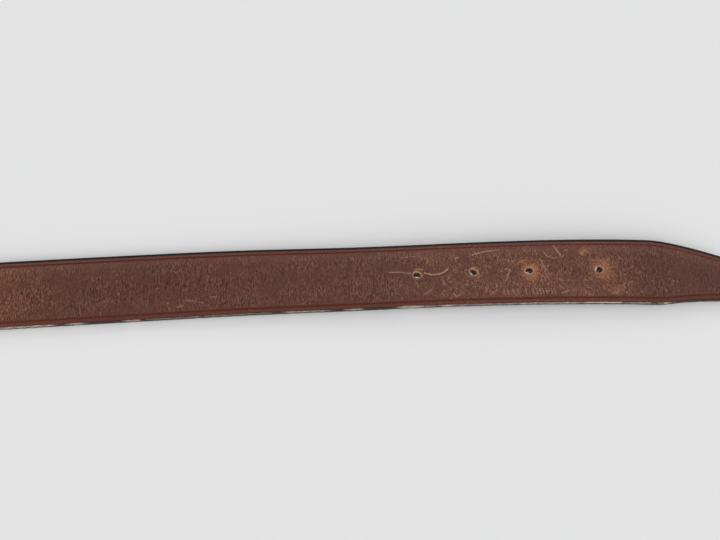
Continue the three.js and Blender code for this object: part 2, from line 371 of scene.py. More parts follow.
def swing_point(bm, point, centre, angle, steps):
    """Draws an arc on from a point round a centre, and returns its end."""
    made = bmesh.ops.spin(
        bm, geom=[point], cent=centre, axis=(0, 0, 1), dvec=(0, 0, 0), angle=angle, steps=steps,
        use_merge=False, use_normal_flip=False, use_duplicate=False,
    )
    return verts_in(made["geom_last"])[0]


def strap_face(bm):
    """One flat face with the strap's whole outline."""
    tip = bm.verts.new((0, 0, 0))
    point = swing_point(bm, tip, (-NOSE_RADIUS, 0, 0), NOSE_TURN, NOSE_STEPS)
    point, taper = extrude_point(bm, point, taper_end)
    shoulder_centre = (-shoulder_along, STRAP_WIDTH / 2 - SHOULDER_RADIUS, 0)
    point = swing_point(bm, point, shoulder_centre, TAPER_ANGLE, SHOULDER_STEPS)
    point, fine = extrude_point(bm, point, (-FINE_REACH, STRAP_WIDTH / 2, 0))
    point, coarse = extrude_point(bm, point, (-STRAP_LENGTH, STRAP_WIDTH / 2, 0))
    for edge, step in ((taper, FINE_STEP), (fine, FINE_STEP), (coarse, COARSE_STEP)):
        bmesh.ops.subdivide_edges(bm, edges=[edge], cuts=round(edge.calc_length() / step) - 1)
    bmesh.ops.mirror(bm, geom=bm.verts[:] + bm.edges[:], axis="Y", merge_dist=WELD)
    corners = [v for v in bm.verts if v.co.x < WELD - STRAP_LENGTH]
    bm.edges.new(corners)
    face = bmesh.ops.edgeloop_fill(bm, edges=bm.edges[:])["faces"][0]
    face.normal_update()
    if face.normal.z < 0:
        face.normal_flip()
    return face


trial = bmesh.new()
print("the outline has", len(strap_face(trial).verts), "points")
trial.free()

# %% [markdown]
# Each leather has a rolled rim, a margin outside the seam, a groove that the stitches sink into, and a
# slightly raised field. Insetting the one big face again and again gives a row of vertices for each change
# of height. The field is then cut across from side to side into small cells, so that it can follow the
# bend, dip a little at random and take the holes. A subdivision surface would be smoother still, but it
# would round the holes away.

# %% The flat sheet of one leather
INSETS_AND_HEIGHTS = (
    (0.0, 2.7), (0.3, 2.98), (0.7, 3.13), (1.2, 3.19), (1.7, 3.17), (2.0, 3.08), (2.3, 3.02), (2.6, 3.08),
    (3.0, 3.27), (3.6, 3.37), (5.0, 3.4),
)
INSETS, HEIGHTS = zip(*INSETS_AND_HEIGHTS)
FIELD_CUTS = 17
print("rows of vertices from the rim to the field:", len(INSETS))


def gridded_sheet(bm):
    """The flat strap, with a row of vertices at each inset and small cells in its field."""
    field = strap_face(bm)
    for outer, inner in zip(INSETS, INSETS[1:]):
        inset_faces(bm, [field], inner - outer)
    far = sorted((v for v in field.verts if v.co.y > WELD), key=lambda v: -v.co.x)
    near = sorted((v for v in field.verts if v.co.y < -WELD), key=lambda v: -v.co.x)
    across = []
    for one, other in zip(far[:-1], near[:-1]):
        shared = next(f for f in one.link_faces if f in other.link_faces[:])
        made = bmesh.utils.face_split(shared, one, other)[1]
        across.append(made.edge)
    bmesh.ops.subdivide_edges(bm, edges=across, cuts=FIELD_CUTS, use_grid_fill=True)


# %% [markdown]
# A hole punch leaves an oval with a rounded rim, and the prong then drags it out of shape. A patch of cells
# is taken out, and its border is extruded inwards in rows that end on that uneven oval, close together at
# the rim for its roll. A boolean would cut the oval too, but it leaves long thin faces that shade badly.
# The two leathers get slightly different ovals, because they stretched differently. Where the prong leaned,
# the brown leather has torn into a lip that slopes down into the hole. Its colour is painted near white, both
# as pale fibre and as the lit surface seen through the hole.

# %% The punched holes
FACE_LAYER = 0.0
REVERSE_LAYER = 2.4
HOLE_PATCH = 4.0
HOLE_ROWS = (1.5, 0.8, 0.4, 0.15, 0.0)
LIP_SPREAD = 0.75
LIP_LEAST = 0.03
print("rows of vertices round a hole:", len(HOLE_ROWS))


def shape_ring(ring, centre, hole, gap, layer, lip):
    """Moves a ring of vertices to one distance outside the hole's rim, and further in along the lip."""
    for vert in ring:
        out = vert.co - centre
        angle = math.atan2(out.y, out.x)
        off_lip = math.remainder(angle - math.radians(hole["lip"]), math.tau)
        reach = hole_radius(hole, angle, layer) + gap - lip * math.exp(-(off_lip / LIP_SPREAD) ** 2)
        vert.co = centre + Vector((math.cos(angle), math.sin(angle), 0)) * float(reach)


def punch(bm, hole, layer):
    """Cuts one uneven oval hole through the flat sheet."""
    centre = Vector((-hole["along"], hole["aside"], 0))
    patch = [
        f for f in bm.faces
        if abs(f.calc_center_median().x - centre.x) < HOLE_PATCH
        and abs(f.calc_center_median().y - centre.y) < HOLE_PATCH
    ]
    bmesh.ops.delete(bm, geom=patch, context="FACES")
    ring = [e for e in bm.edges if e.is_boundary and (e.verts[0].co - centre).length < 2 * HOLE_PATCH]
    rows = [(gap, 0.0) for gap in HOLE_ROWS]
    if layer == FACE_LAYER:
        rows.append((-LIP_LEAST, hole["deep"]))
    for gap, lip in rows:
        made = bmesh.ops.extrude_edge_only(bm, edges=ring)["geom"]
        shape_ring(verts_in(made), centre, hole, gap, layer, lip)
        ring = [g for g in made if isinstance(g, bmesh.types.BMEdge) and g.is_boundary]


# %% [markdown]
# The sheet is extruded up from the glue line to make a closed leather with walls at the rim and in the
# holes. Then each top vertex gets its height: the profile of the rim, the press round a hole and slow
# random dips. The near edge has rubbed along belt loops, so its rim is ragged, and beside the last hole it
# steps back.

# %% One leather, and the two that make the belt
HOLE_PRESS = 0.32
PRESS_FADE = 0.35
PRESS_INWARD = -0.3
SWELL_SIZE = 9.0
SWELL_HEIGHT = 0.05
RAGGED_SIZE = 2.2
RAGGED_BIAS = 0.3
RAGGED_DEPTH = 0.12
RAGGED_REACH = 1.3
STEP = {"along": 159.5, "sharp": 1.2, "fades": 13.0, "deep": 0.12}


def rim_wear(x, y):
    """How far the near rim has worn in: ragged all along, and rubbed back past one sharp step."""
    if y > 0:
        return 0.0
    ragged = noise.noise(Vector((x / RAGGED_SIZE, 0, 0))) + RAGGED_BIAS
    past_step = STEP["along"] + x
    rubbed = 0.0
    if past_step > 0:
        rubbed = min(past_step / STEP["sharp"], 1) * math.exp(-past_step / STEP["fades"]) * STEP["deep"]
    return RAGGED_DEPTH * max(ragged, 0) + rubbed


def leather(name, layer, face_up):
    """A closed leather, from the glue line out to its finished face."""
    bm = bmesh.new()
    gridded_sheet(bm)
    for hole in HOLES:
        punch(bm, hole, layer)
    top = set(verts_in(raise_faces(bm, bm.faces[:])))
    verts = bm.verts[:]
    flat_x = np.array([v.co.x for v in verts])
    flat_y = np.array([v.co.y for v in verts])
    inset = inset_and_seam(flat_x, flat_y)[0]
    gap = hole_gap(flat_x, flat_y, layer)
    hole_press_and_groove_shade = HOLE_PRESS * np.exp(-np.maximum(gap, PRESS_INWARD) / PRESS_FADE)
    height = np.interp(inset, INSETS, HEIGHTS) - hole_press_and_groove_shade
    for i, vert in enumerate(verts):
        x, y, _ = vert.co
        vert.co.z = (STRAP_THICKNESS + GLUE_GAP) / 2
        if vert in top:
            swell = noise.noise(Vector((x / SWELL_SIZE, y / SWELL_SIZE, layer))) * SWELL_HEIGHT
            vert.co.z = height[i] + min(swell, 0)
        if inset[i] < RAGGED_REACH:
            vert.co.y += rim_wear(x, y) * (1 - inset[i] / RAGGED_REACH)
        if not face_up:
            vert.co.z = STRAP_THICKNESS - vert.co.z
    return to_piece(bm, name, layer=layer)


brown_face = leather("brown_face", FACE_LAYER, face_up=True)
black_reverse = leather("black_reverse", REVERSE_LAYER, face_up=False)
for made in (brown_face, black_reverse):
    print(made.name, "has", len(made.data.vertices), "vertices")

# %% [markdown]
# The edge is painted after the two leathers are joined, and the paint laps over onto both faces. It is a
# thin coat of its own, because at the far edge it is the black line that frames the whole belt. A box with
# the strap's outline gets rounded rims, its two big faces are opened to leave only the lap, and the rest is
# given a thickness. On the near side the belt loops have rubbed the lap off the brown rim, so the coat ends
# lower there.

# %% The coat of edge paint
COAT_LOW = 0.17
COAT_ROUND = 0.5
COAT_PROUD = 0.05
COAT_THICKNESS = 0.14
FAR_LAP = 0.98
LAP_RAGGED = 0.16
NEAR_TOP = 2.9
NEAR_FROM = -6.0


def edge_coat():
    """A thin shell round the rim of both leathers, open over the two faces."""
    bm = bmesh.new()
    base = strap_face(bm)
    base.normal_flip()
    top_face = next(g for g in raise_faces(bm, [base]) if isinstance(g, bmesh.types.BMFace))
    for face, height in ((base, COAT_LOW), (top_face, STRAP_THICKNESS - COAT_LOW)):
        for vert in face.verts:
            vert.co.z = height
    round_off(bm, list(base.edges) + list(top_face.edges), COAT_ROUND)
    caps = sorted(bm.faces, key=lambda f: len(f.verts))[-2:]
    inset_faces(bm, caps, FAR_LAP - COAT_ROUND)
    laps = {v for f in caps for v in f.verts}
    for vert in laps:
        lap = noise.noise(vert.co / RAGGED_SIZE) * LAP_RAGGED
        vert.co.y += math.copysign(lap, vert.co.y)
    rubbed = [
        f for f in bm.faces
        if f in caps or min(v.co.z for v in f.verts) > NEAR_TOP and max(v.co.y for v in f.verts) < NEAR_FROM
    ]
    bmesh.ops.delete(bm, geom=rubbed, context="FACES")
    for vert in bm.verts:
        vert.co.y += rim_wear(vert.co.x, vert.co.y)
    bmesh.ops.recalc_face_normals(bm, faces=bm.faces[:])
    bm.normal_update()
    for vert in bm.verts:
        vert.co += vert.normal * COAT_PROUD
    bmesh.ops.solidify(bm, geom=bm.faces[:], thickness=COAT_THICKNESS)
    return to_piece(bm, "edge_paint")


edge_paint = edge_coat()
print("the coat has", len(edge_paint.data.polygons), "faces")

# %% [markdown]
# The seam is a row of short waxed stitches, each leaning a little out of line, because the needle enters
# and leaves the leather side by side. One stitch is a stretched ball of six sides, and it is placed again
# and again along the groove on both sides of both faces. Six sides are enough, since a stitch is hardly
# wider than a pixel and there are more than a thousand. Each keeps its own shade, for thread soaks up wax
# unevenly.

# %% The stitches
STITCH_PITCH = 3.0
STITCH_LENGTH = 2.7
STITCH_WIDTH = 0.6
STITCH_HEIGHT = 0.44
STITCH_SLANT = math.radians(10)
STITCH_SEAT = 3.06
STITCH_LEAN = 0.05
STITCH_WANDER = 0.06
STITCH_SEED = 7
SEAM_STOP = STRAP_LENGTH - CLAMP_GRIP - 2.0
print("the seams stop", round(STRAP_LENGTH - SEAM_STOP, 1), "mm before the strap's end")


# %% One stitch, and its place on the seam
def seam_place(run):
    """The flat place and heading of the far seam at one distance from the nose."""
    if run < SEAM_NOSE:
        radius = NOSE_RADIUS - SEAM_INSET
        angle = run / radius
        return radius * math.cos(angle) - NOSE_RADIUS, radius * math.sin(angle), angle + math.pi / 2
    if run < SEAM_TAPER:
        part = run - SEAM_NOSE
        x = nose_end.x - SEAM_INSET * math.sin(TAPER_ANGLE) - part * math.cos(TAPER_ANGLE)
        y = nose_end.y - SEAM_INSET * math.cos(TAPER_ANGLE) + part * math.sin(TAPER_ANGLE)
        return x, y, math.pi - TAPER_ANGLE
    if run < SEAM_SHOULDER:
        radius = SHOULDER_RADIUS - SEAM_INSET
        angle = TAPER_ANGLE - (run - SEAM_TAPER) / radius
        x = radius * math.sin(angle) - shoulder_along
        y = STRAP_WIDTH / 2 - SHOULDER_RADIUS + radius * math.cos(angle)
        return x, y, math.pi - angle
    return SEAM_SHOULDER - run - shoulder_along, STRAP_WIDTH / 2 - SEAM_INSET, math.pi


def one_stitch():
    """A small stretched ball of six sides, which remembers its own shape in stitch_place."""
    bm = bmesh.new()
    local = bm.verts.layers.float_vector.new("stitch_place")
    bmesh.ops.create_uvsphere(bm, u_segments=6, v_segments=5, radius=1)
    for vert in bm.verts:
        vert[local] = vert.co
    size = Matrix.Diagonal((STITCH_LENGTH / 2, STITCH_WIDTH / 2, STITCH_HEIGHT / 2, 1))
    bmesh.ops.transform(bm, verts=bm.verts[:], matrix=size @ Matrix.Rotation(math.pi / 2, 4, "Y"))
    mesh = bpy.data.meshes.new("one_stitch")
    bm.to_mesh(mesh)
    bm.free()
    return mesh


# %% The rows of stitches
def stitch_rows(name, height):
    """Both seams of one face, sewn from the nose to the buckle's clamp."""
    bm = bmesh.new()
    stitch = one_stitch()
    draw = random.Random(STITCH_SEED)
    count = int((SEAM_STOP + SEAM_SHOULDER - shoulder_along) / STITCH_PITCH)
    for side in (1, -1):
        for number in range(count):
            x, y, heading = seam_place((number + 0.5) * STITCH_PITCH)
            lean = side * heading + STITCH_SLANT + draw.uniform(-STITCH_LEAN, STITCH_LEAN)
            wander = draw.uniform(-STITCH_WANDER, STITCH_WANDER)
            place = Matrix.Translation((x, side * y + wander, height)) @ Matrix.Rotation(lean, 4, "Z")
            stitch.transform(place)
            bm.from_mesh(stitch)
            stitch.transform(place.inverted())
    piece = to_piece(bm, name)
    shades = [draw.uniform(0, 1) for _ in range(2 * count)]
    keep(piece.data, "stitch_shade", np.repeat(shades, len(stitch.vertices)))
    return piece


face_stitches = stitch_rows("face_stitches", STITCH_SEAT)
reverse_stitches = stitch_rows("reverse_stitches", STRAP_THICKNESS - STITCH_SEAT)
print("vertices in one face's stitches:", len(face_stitches.data.vertices))

# %% [markdown]
# The picture's edge hides the buckle, so it is one plain piece of the clamp kind that a reversible strap is
# sold with: a window frame, a prong that lies across it, and a clamp that grips the strap's square end.
# Each is a flat outline with rounded corners, extruded and given a soft bevel, and a boolean joins the
# three.

# %% The buckle's parts
FRAME_WIDTH = 42.0
FRAME_HEIGHT = 3.4
FRAME_CORNER = 5.0
WINDOW_CORNER = 2.0
PRONG_WIDTH = 3.2
PRONG_HEIGHT = 2.2
PRONG_SEAT = 0.4
PRONG_CORNER = 1.5
PRONG_ROOT = 1.0
CLAMP_WIDTH = 34.0
CLAMP_HEIGHT = 6.2
CLAMP_CORNER = 2.0
SOFT_BEVEL = 0.9
FINE_BEVEL = 0.5
CORNER_STEPS = 8
RIM_FOLD = 1.0
print("the buckle's window is", FRAME_LENGTH - 2 * BAR_WIDTH, "mm long")


def add_plate(bm, low_x, high_x, width, corner):
    """Adds a flat rectangle with rounded corners, as one face."""
    size = Matrix.Diagonal(((high_x - low_x), width, 1, 1))
    middle = Matrix.Translation(((low_x + high_x) / 2, 0, 0))
    made = bmesh.ops.create_grid(bm, x_segments=1, y_segments=1, size=0.5, matrix=middle @ size)
    round_off(bm, made["verts"], corner, CORNER_STEPS, "VERTICES")


def raise_plate(bm, height, rounding):
    """Extrudes everything flat in the bmesh to a height, and rounds the rims above and below."""
    bmesh.ops.translate(bm, verts=verts_in(raise_faces(bm, bm.faces[:])), vec=(0, 0, height))
    bmesh.ops.recalc_face_normals(bm, faces=bm.faces[:])
    rims = [
        e for e in bm.edges
        if abs(e.verts[0].co.z - e.verts[1].co.z) < WELD and e.calc_face_angle(0) > RIM_FOLD
    ]
    round_off(bm, rims, rounding)


# %% The frame, the prong and the clamp
def window_frame():
    bm = bmesh.new()
    front = BAR_WIDTH / 2 - FRAME_LENGTH
    add_plate(bm, front, BAR_WIDTH / 2, FRAME_WIDTH, FRAME_CORNER)
    add_plate(bm, front + BAR_WIDTH, -BAR_WIDTH / 2, FRAME_WIDTH - 2 * BAR_WIDTH, WINDOW_CORNER)
    bmesh.ops.delete(bm, geom=bm.faces[:], context="FACES_ONLY")
    bmesh.ops.bridge_loops(bm, edges=bm.edges[:])
    raise_plate(bm, FRAME_HEIGHT, SOFT_BEVEL)
    return to_piece(bm, "window_frame", laid=False)


def prong():
    bm = bmesh.new()
    point = FINE_BEVEL - (FRAME_LENGTH - BAR_WIDTH / 2)
    add_plate(bm, point, PRONG_ROOT, PRONG_WIDTH, PRONG_CORNER)
    raise_plate(bm, PRONG_HEIGHT, SOFT_BEVEL)
    bmesh.ops.translate(bm, verts=bm.verts[:], vec=(0, 0, FRAME_HEIGHT - PRONG_SEAT))
    return to_piece(bm, "prong", laid=False)


def clamp():
    bm = bmesh.new()
    add_plate(bm, 0, CLAMP_LENGTH, CLAMP_WIDTH, CLAMP_CORNER)
    raise_plate(bm, CLAMP_HEIGHT, FINE_BEVEL)
    return to_piece(bm, "clamp", laid=False)


def clamp_slot():
    bm = bmesh.new()
    size = Matrix.Diagonal((2 * CLAMP_GRIP, STRAP_WIDTH + 2 * FIT_GAP, STRAP_THICKNESS + 2 * FIT_GAP, 1))
    place = Matrix.Translation((CLAMP_LENGTH, 0, CLAMP_HEIGHT / 2))
    bmesh.ops.create_cube(bm, size=1, matrix=place @ size)
    return to_piece(bm, "clamp_slot", laid=False)


# %% The buckle joined and set at the strap's end
def combine(target, tool, operation):
    """Joins or cuts one closed part with another, and takes the other away."""
    change = target.modifiers.new(operation, "BOOLEAN")
    change.operation = operation
    change.solver = "EXACT"
    change.object = tool
    bpy.context.view_layer.update()
    result = bpy.data.meshes.new_from_object(target.evaluated_get(bpy.context.evaluated_depsgraph_get()))
    target.modifiers.clear()
    target.data = result
    bpy.data.objects.remove(tool)


buckle_metal = window_frame()
clamp_block = clamp()
combine(clamp_block, clamp_slot(), "DIFFERENCE")
combine(buckle_metal, clamp_block, "UNION")
combine(buckle_metal, prong(), "UNION")
buckle_metal.name = "buckle_metal"
buckle_metal.data.transform(Matrix.Scale(MM, 4) @ Matrix.Translation((rear_bar_x, middle_y, 0)))
buckle_metal.data.shade_smooth()
buckle_metal.data.set_sharp_from_angle(angle=SHARP_ANGLE)
print("the buckle has", len(buckle_metal.data.polygons), "faces")

# %% [markdown]
# Materials are built from nodes. To keep them readable, what a node puts out is wrapped as a Signal, and a
# sum or product of signals adds the nodes that work it out. A few helpers name the steps that come back all
# the time. Colours are chosen as a screen shows them and turned into the linear values that Blender mixes.
# Noises are sized by how often they repeat: in a millimetre for the leather, and in a metre for the steel.


# %% Signals
class Signal:
    """What a node puts out, as a value that other nodes can be worked out from."""

    def __init__(self, socket):
        self.socket = socket
        self.tree = socket.id_data

    def __add__(self, other):
        return maths("ADD", self, other)

    def __sub__(self, other):
        return maths("SUBTRACT", self, other)

    def __rsub__(self, other):
        return maths("SUBTRACT", other, self)

    def __mul__(self, other):
        return maths("MULTIPLY", self, other)

    def __truediv__(self, other):
        return maths("DIVIDE", self, other)

    def __abs__(self):
        return maths("ABSOLUTE", self)


# %% Helpers that add nodes
def fill(node, values):
    """Fills a node's inputs, by name or number, with values or with signals."""
    for name, value in values.items():
        if isinstance(value, Signal):
            value.tree.links.new(value.socket, node.inputs[name])
        else:
            node.inputs[name].default_value = value


def add_node(tree, kind, values=None, **settings):
    """Adds a node with its settings and inputs, and returns its outputs."""
    made = tree.nodes.new(kind)
    for name, value in settings.items():
        setattr(made, name, value)
    fill(made, values or {})
    return made.outputs


def tree_of(values):
    return next(value.tree for value in values if isinstance(value, Signal))


def maths(operation, *values):
    made = add_node(tree_of(values), "ShaderNodeMath", dict(enumerate(values)), operation=operation)
    return Signal(made[0])


def vector_maths(operation, *values):
    made = add_node(tree_of(values), "ShaderNodeVectorMath", dict(enumerate(values)), operation=operation)
    return Signal(made["Value"] if operation in ("LENGTH", "DOT_PRODUCT") else made["Vector"])


def split(vector):
    """The three parts of a vector."""
    return [Signal(part) for part in add_node(vector.tree, "ShaderNodeSeparateXYZ", {"Vector": vector})]


def joined(x, y):
    return Signal(add_node(x.tree, "ShaderNodeCombineXYZ", {"X": x, "Y": y})[0])


def hypot(x, y):
    return vector_maths("LENGTH", joined(x, y))


def ramp(value, low, high, start=0.0, end=1.0):
    """An eased step: start where the value is under low, end where it is over high."""
    return Signal(add_node(value.tree, "ShaderNodeMapRange", {
        "Value": value, "From Min": low, "From Max": high, "To Min": start, "To Max": end,
    }, interpolation_type="SMOOTHSTEP")["Result"])


def noise_at(place, repeats, detail, roughness, distortion=0.0, turn=0.0):
    """A noise of a place, which repeats so often in each direction."""
    sized = add_node(place.tree, "ShaderNodeMapping", {
        "Vector": place, "Scale": repeats, "Rotation": (0, 0, turn),
    })[0]
    return Signal(add_node(place.tree, "ShaderNodeTexNoise", {
        "Vector": Signal(sized), "Scale": 1.0, "Detail": detail, "Roughness": roughness,
        "Distortion": distortion,
    })["Fac"])


def between(share, one, other):
    """A number that lies part of the way from one to another."""
    made = add_node(share.tree, "ShaderNodeMix", {"Factor": share, "A": one, "B": other})
    return Signal(made["Result"])


def blend(share, one, other, mode="MIX"):
    """Mixes two colours, which are the mix node's sockets 6 and 7. Its output 2 is the mixed colour."""
    made = add_node(
        tree_of((share, one, other)), "ShaderNodeMix", {0: share, 6: one, 7: other},
        data_type="RGBA", blend_type=mode,
    )
    return Signal(made[2])


def bumped(height, distance, strength=1.0):
    values = {"Height": height, "Distance": distance, "Strength": strength}
    return Signal(add_node(height.tree, "ShaderNodeBump", values)["Normal"])


# %% Colours, groups and materials
def screen_colour(red, green, blue):
    """A colour as a screen shows it, from 0 to 255, as the linear colour that Blender mixes."""
    linear = []
    for value in (red / 255, green / 255, blue / 255):
        linear.append(value / 12.92 if value <= 0.04045 else ((value + 0.055) / 1.055) ** 2.4)
    return (*linear, 1.0)


FLOAT = "NodeSocketFloat"
VECTOR = "NodeSocketVector"


def new_group(name, inputs, outputs):
    """An empty node group, with the signals it is given and the node that takes its results."""
    tree = bpy.data.node_groups.new(name, "ShaderNodeTree")
    for socket_name, kind in inputs.items():
        tree.interface.new_socket(socket_name, in_out="INPUT", socket_type=kind)
    for socket_name in outputs:
        tree.interface.new_socket(socket_name, in_out="OUTPUT", socket_type=FLOAT)
    given = tree.nodes.new("NodeGroupInput").outputs
    return tree, {name: Signal(given[name]) for name in inputs}, tree.nodes.new("NodeGroupOutput")


def use_group(group, values):
    """Puts a group into the tree of its inputs, and returns its outputs by name."""
    made = add_node(tree_of(values.values()), "ShaderNodeGroup", values, node_tree=group)
    return {socket.name: Signal(socket) for socket in made}


def new_material(name):
    """A material and its Principled shader."""
    material = bpy.data.materials.new(name)
    material.use_nodes = True
    return material, next(n for n in material.node_tree.nodes if n.type == "BSDF_PRINCIPLED")


def kept(shader, name, output="Vector"):
    """What the mesh keeps under a name."""
    return Signal(add_node(shader.id_data, "ShaderNodeAttribute", attribute_name=name)[output])


print("a middle grey, as Blender mixes it:", [round(part, 3) for part in screen_colour(128, 128, 128)])

# %% [markdown]
# Leather grain is the effect that both leathers share, so it is a node group. A strap is bent round a waist
# day after day, so fine creases run across it, hardly wider than a hair and a few millimetres long. A noise
# that is squeezed along the strap gives these dense, straight dashes. In patches and round the holes they
# turn worm-like: there a crease is where a rounder noise passes through its middle value. The pores between
# them are a rounder noise that breaks the creases up. The group puts out a height for the bump, a mask of
# the creases' crests, which the brown face lightens both for rubbing and as painted highlight, and the
# pores' tone, which it uses for painted shade in the grain's hollows.

# %% Grain that creases across the strap
grain, given, result = new_group(
    "cross grain", {"Place": VECTOR, "Worms": FLOAT}, ("Height", "Crests", "Tone"),
)
straight = ramp(noise_at(given["Place"], (3.1, 0.72, 1), 0.0, 0.5, 0.1), 0.33, 0.78)
rounder = noise_at(given["Place"], (1.7, 1.0, 1), 1.5, 0.5, 0.8, turn=0.2)
winding = ramp(abs(rounder - 0.5), 0.1, 0.0)
patchy = noise_at(given["Place"], (0.11, 0.2, 1), 2.0, 0.55, 0.5)
worm_patch = ramp(given["Worms"] * 0.15 + patchy, 0.56, 0.71)
crests = between(worm_patch, straight, winding)
pebble = noise_at(given["Place"], (2.8, 1.4, 1), 2.0, 0.5)
pores = ramp(noise_at(given["Place"], (3.1, 1.25, 1), 0.0, 0.5), 0.3, 0.7)
fill(result, {"Height": crests * 0.45 + pebble * 0.55, "Crests": pores * 0.25 + crests * 0.75, "Tone": pores})
print("nodes in the grain:", len(grain.nodes))

# %% [markdown]
# Handling leaves small pale specks where the finish has flaked off. A fine noise picks the specks and a
# coarse one gathers them in patches, and Amount lets each place have more or fewer.

# %% Specks of bare leather
specks, given, result = new_group("pale specks", {"Place": VECTOR, "Amount": FLOAT}, ("Mask",))
fine = noise_at(given["Place"], (1.9, 0.75, 1), 2.0, 0.6, 0.5, turn=0.1)
coarse = noise_at(given["Place"], (0.13, 0.16, 1), 2.0, 0.6, 0.4)
fill(result, {"Mask": ramp(given["Amount"] * 0.12 + coarse * 0.35 + fine, 0.83, 0.97)})
print("nodes in the specks:", len(specks.nodes))

# %% [markdown]
# The prong and the frame rub a halo round each hole that is in use. It is soft and uneven, made of short
# fibres that stand out from the middle. Reach is its radius, and Centre can lie off the hole. Patches is a
# noise that comes from outside, because every halo and the rings of the holes can share it.

# %% Rubbed halo
halo, given, result = new_group(
    "rubbed halo", {"Place": VECTOR, "Centre": VECTOR, "Reach": FLOAT, "Patches": FLOAT}, ("Mask",),
)
out_x, out_y, _ = split(vector_maths("SUBTRACT", given["Place"], given["Centre"]))
distance = hypot(out_x, out_y)
fibres = noise_at(joined(maths("ARCTAN2", out_y, out_x), distance), (5.0, 0.45, 1), 2.0, 0.65)
frayed = (fibres + given["Patches"]) * 1.7 - 0.7
edge_at = maths("MAXIMUM", given["Reach"] * frayed, 0.05)
fill(result, {"Mask": ramp(distance / edge_at, 1.15, 0.2) * ramp(fibres, 0.35, 0.6, 0.25, 1.0)})
print("nodes in a halo:", len(halo.nodes))

# %% [markdown]
# A scratch is a line between two places, bowed a little to one side. The group measures how far a point is
# from that bowed line. Mask is the pale torn line itself, which Skips breaks up so that it jumps over the
# grain. A deep scratch also cuts into the leather, and Shade is a thin painted shadow beside it. Painting an
# image would be simpler, but here each scratch stays a row of a table that can be changed. Wander and Skips
# are noises that all the scratches share. The bow rides in the Z of Start and the width in the Z of End,
# because a mesh keeps three numbers as easily as two.

# %% One scratch
DEEP_SCRATCH = 0.85

scratch, given, result = new_group("scratch", {
    "Place": VECTOR, "Start": VECTOR, "End": VECTOR, "Strength": FLOAT, "Wander": FLOAT, "Skips": FLOAT,
}, ("Mask", "Deep", "Shade"))
bow = split(given["Start"])[2]
width = split(given["End"])[2]
flat_place, start, end = (
    vector_maths("MULTIPLY", given[name], (1, 1, 0)) for name in ("Place", "Start", "End")
)
run = vector_maths("SUBTRACT", end, start)
run_length = vector_maths("LENGTH", run)
direction = vector_maths("NORMALIZE", run)
sideways = vector_maths("CROSS_PRODUCT", (0, 0, 1), direction)
from_start = vector_maths("SUBTRACT", flat_place, start)
ahead = vector_maths("DOT_PRODUCT", from_start, direction) / run_length
held = maths("MAXIMUM", maths("MINIMUM", ahead, 1.0), 0.0)
past_end = (ahead - held) * run_length
arch = held * (1.0 - held) * 4.0
off_line = vector_maths("DOT_PRODUCT", from_start, sideways) - (bow * arch + given["Wander"])


def beside_line(lean, narrow):
    """A mask of the bowed line, moved aside by a share of its width and made narrower."""
    return ramp(hypot(width * lean + off_line, past_end) / width, 1.15 * narrow, 0.0)


torn = beside_line(0.0, 1.0) * given["Skips"] * given["Strength"]
is_deep = maths("GREATER_THAN", given["Strength"], DEEP_SCRATCH)
fill(result, {"Mask": torn, "Deep": torn * is_deep, "Shade": beside_line(-1.15, 0.8) * is_deep})
print("nodes in a scratch:", len(scratch.nodes))

# %% [markdown]
# The needle leaves a pit at both ends of each stitch, in a groove. Both leathers have them, so this is a
# group as well. It counts the distance along the seam in stitches, and the pits are where one stitch ends
# and the next begins. The leathers paint shade into the pits, and the brown one into the groove as well.

# %% Needle pits
pits, given, result = new_group("needle pits", {"Edge": VECTOR}, ("Pit", "Seam"))
inset, seam, _ = split(given["Edge"])
from_seam = abs(inset - SEAM_INSET)
from_pit = maths("PINGPONG", maths("FRACT", seam / STITCH_PITCH), 0.5) * STITCH_PITCH
fill(result, {"Pit": ramp(hypot(from_seam, from_pit), 0.55, 0.2), "Seam": ramp(from_seam, 0.75, 0.2)})
print("nodes in the needle pits:", len(pits.nodes))

# %% [markdown]
# The brown face is where the eye goes. Its marks are tables, with places in millimetres back from the tip
# and aside of the middle line. Besides the long scratches there are spots, which are very short ones, and a
# low row of rubs where the frame's bar has pressed. Four stretches of the strap have a tone of their own:
# the tip, the zone round the holes, the part towards the buckle, and the end of what the picture shows.

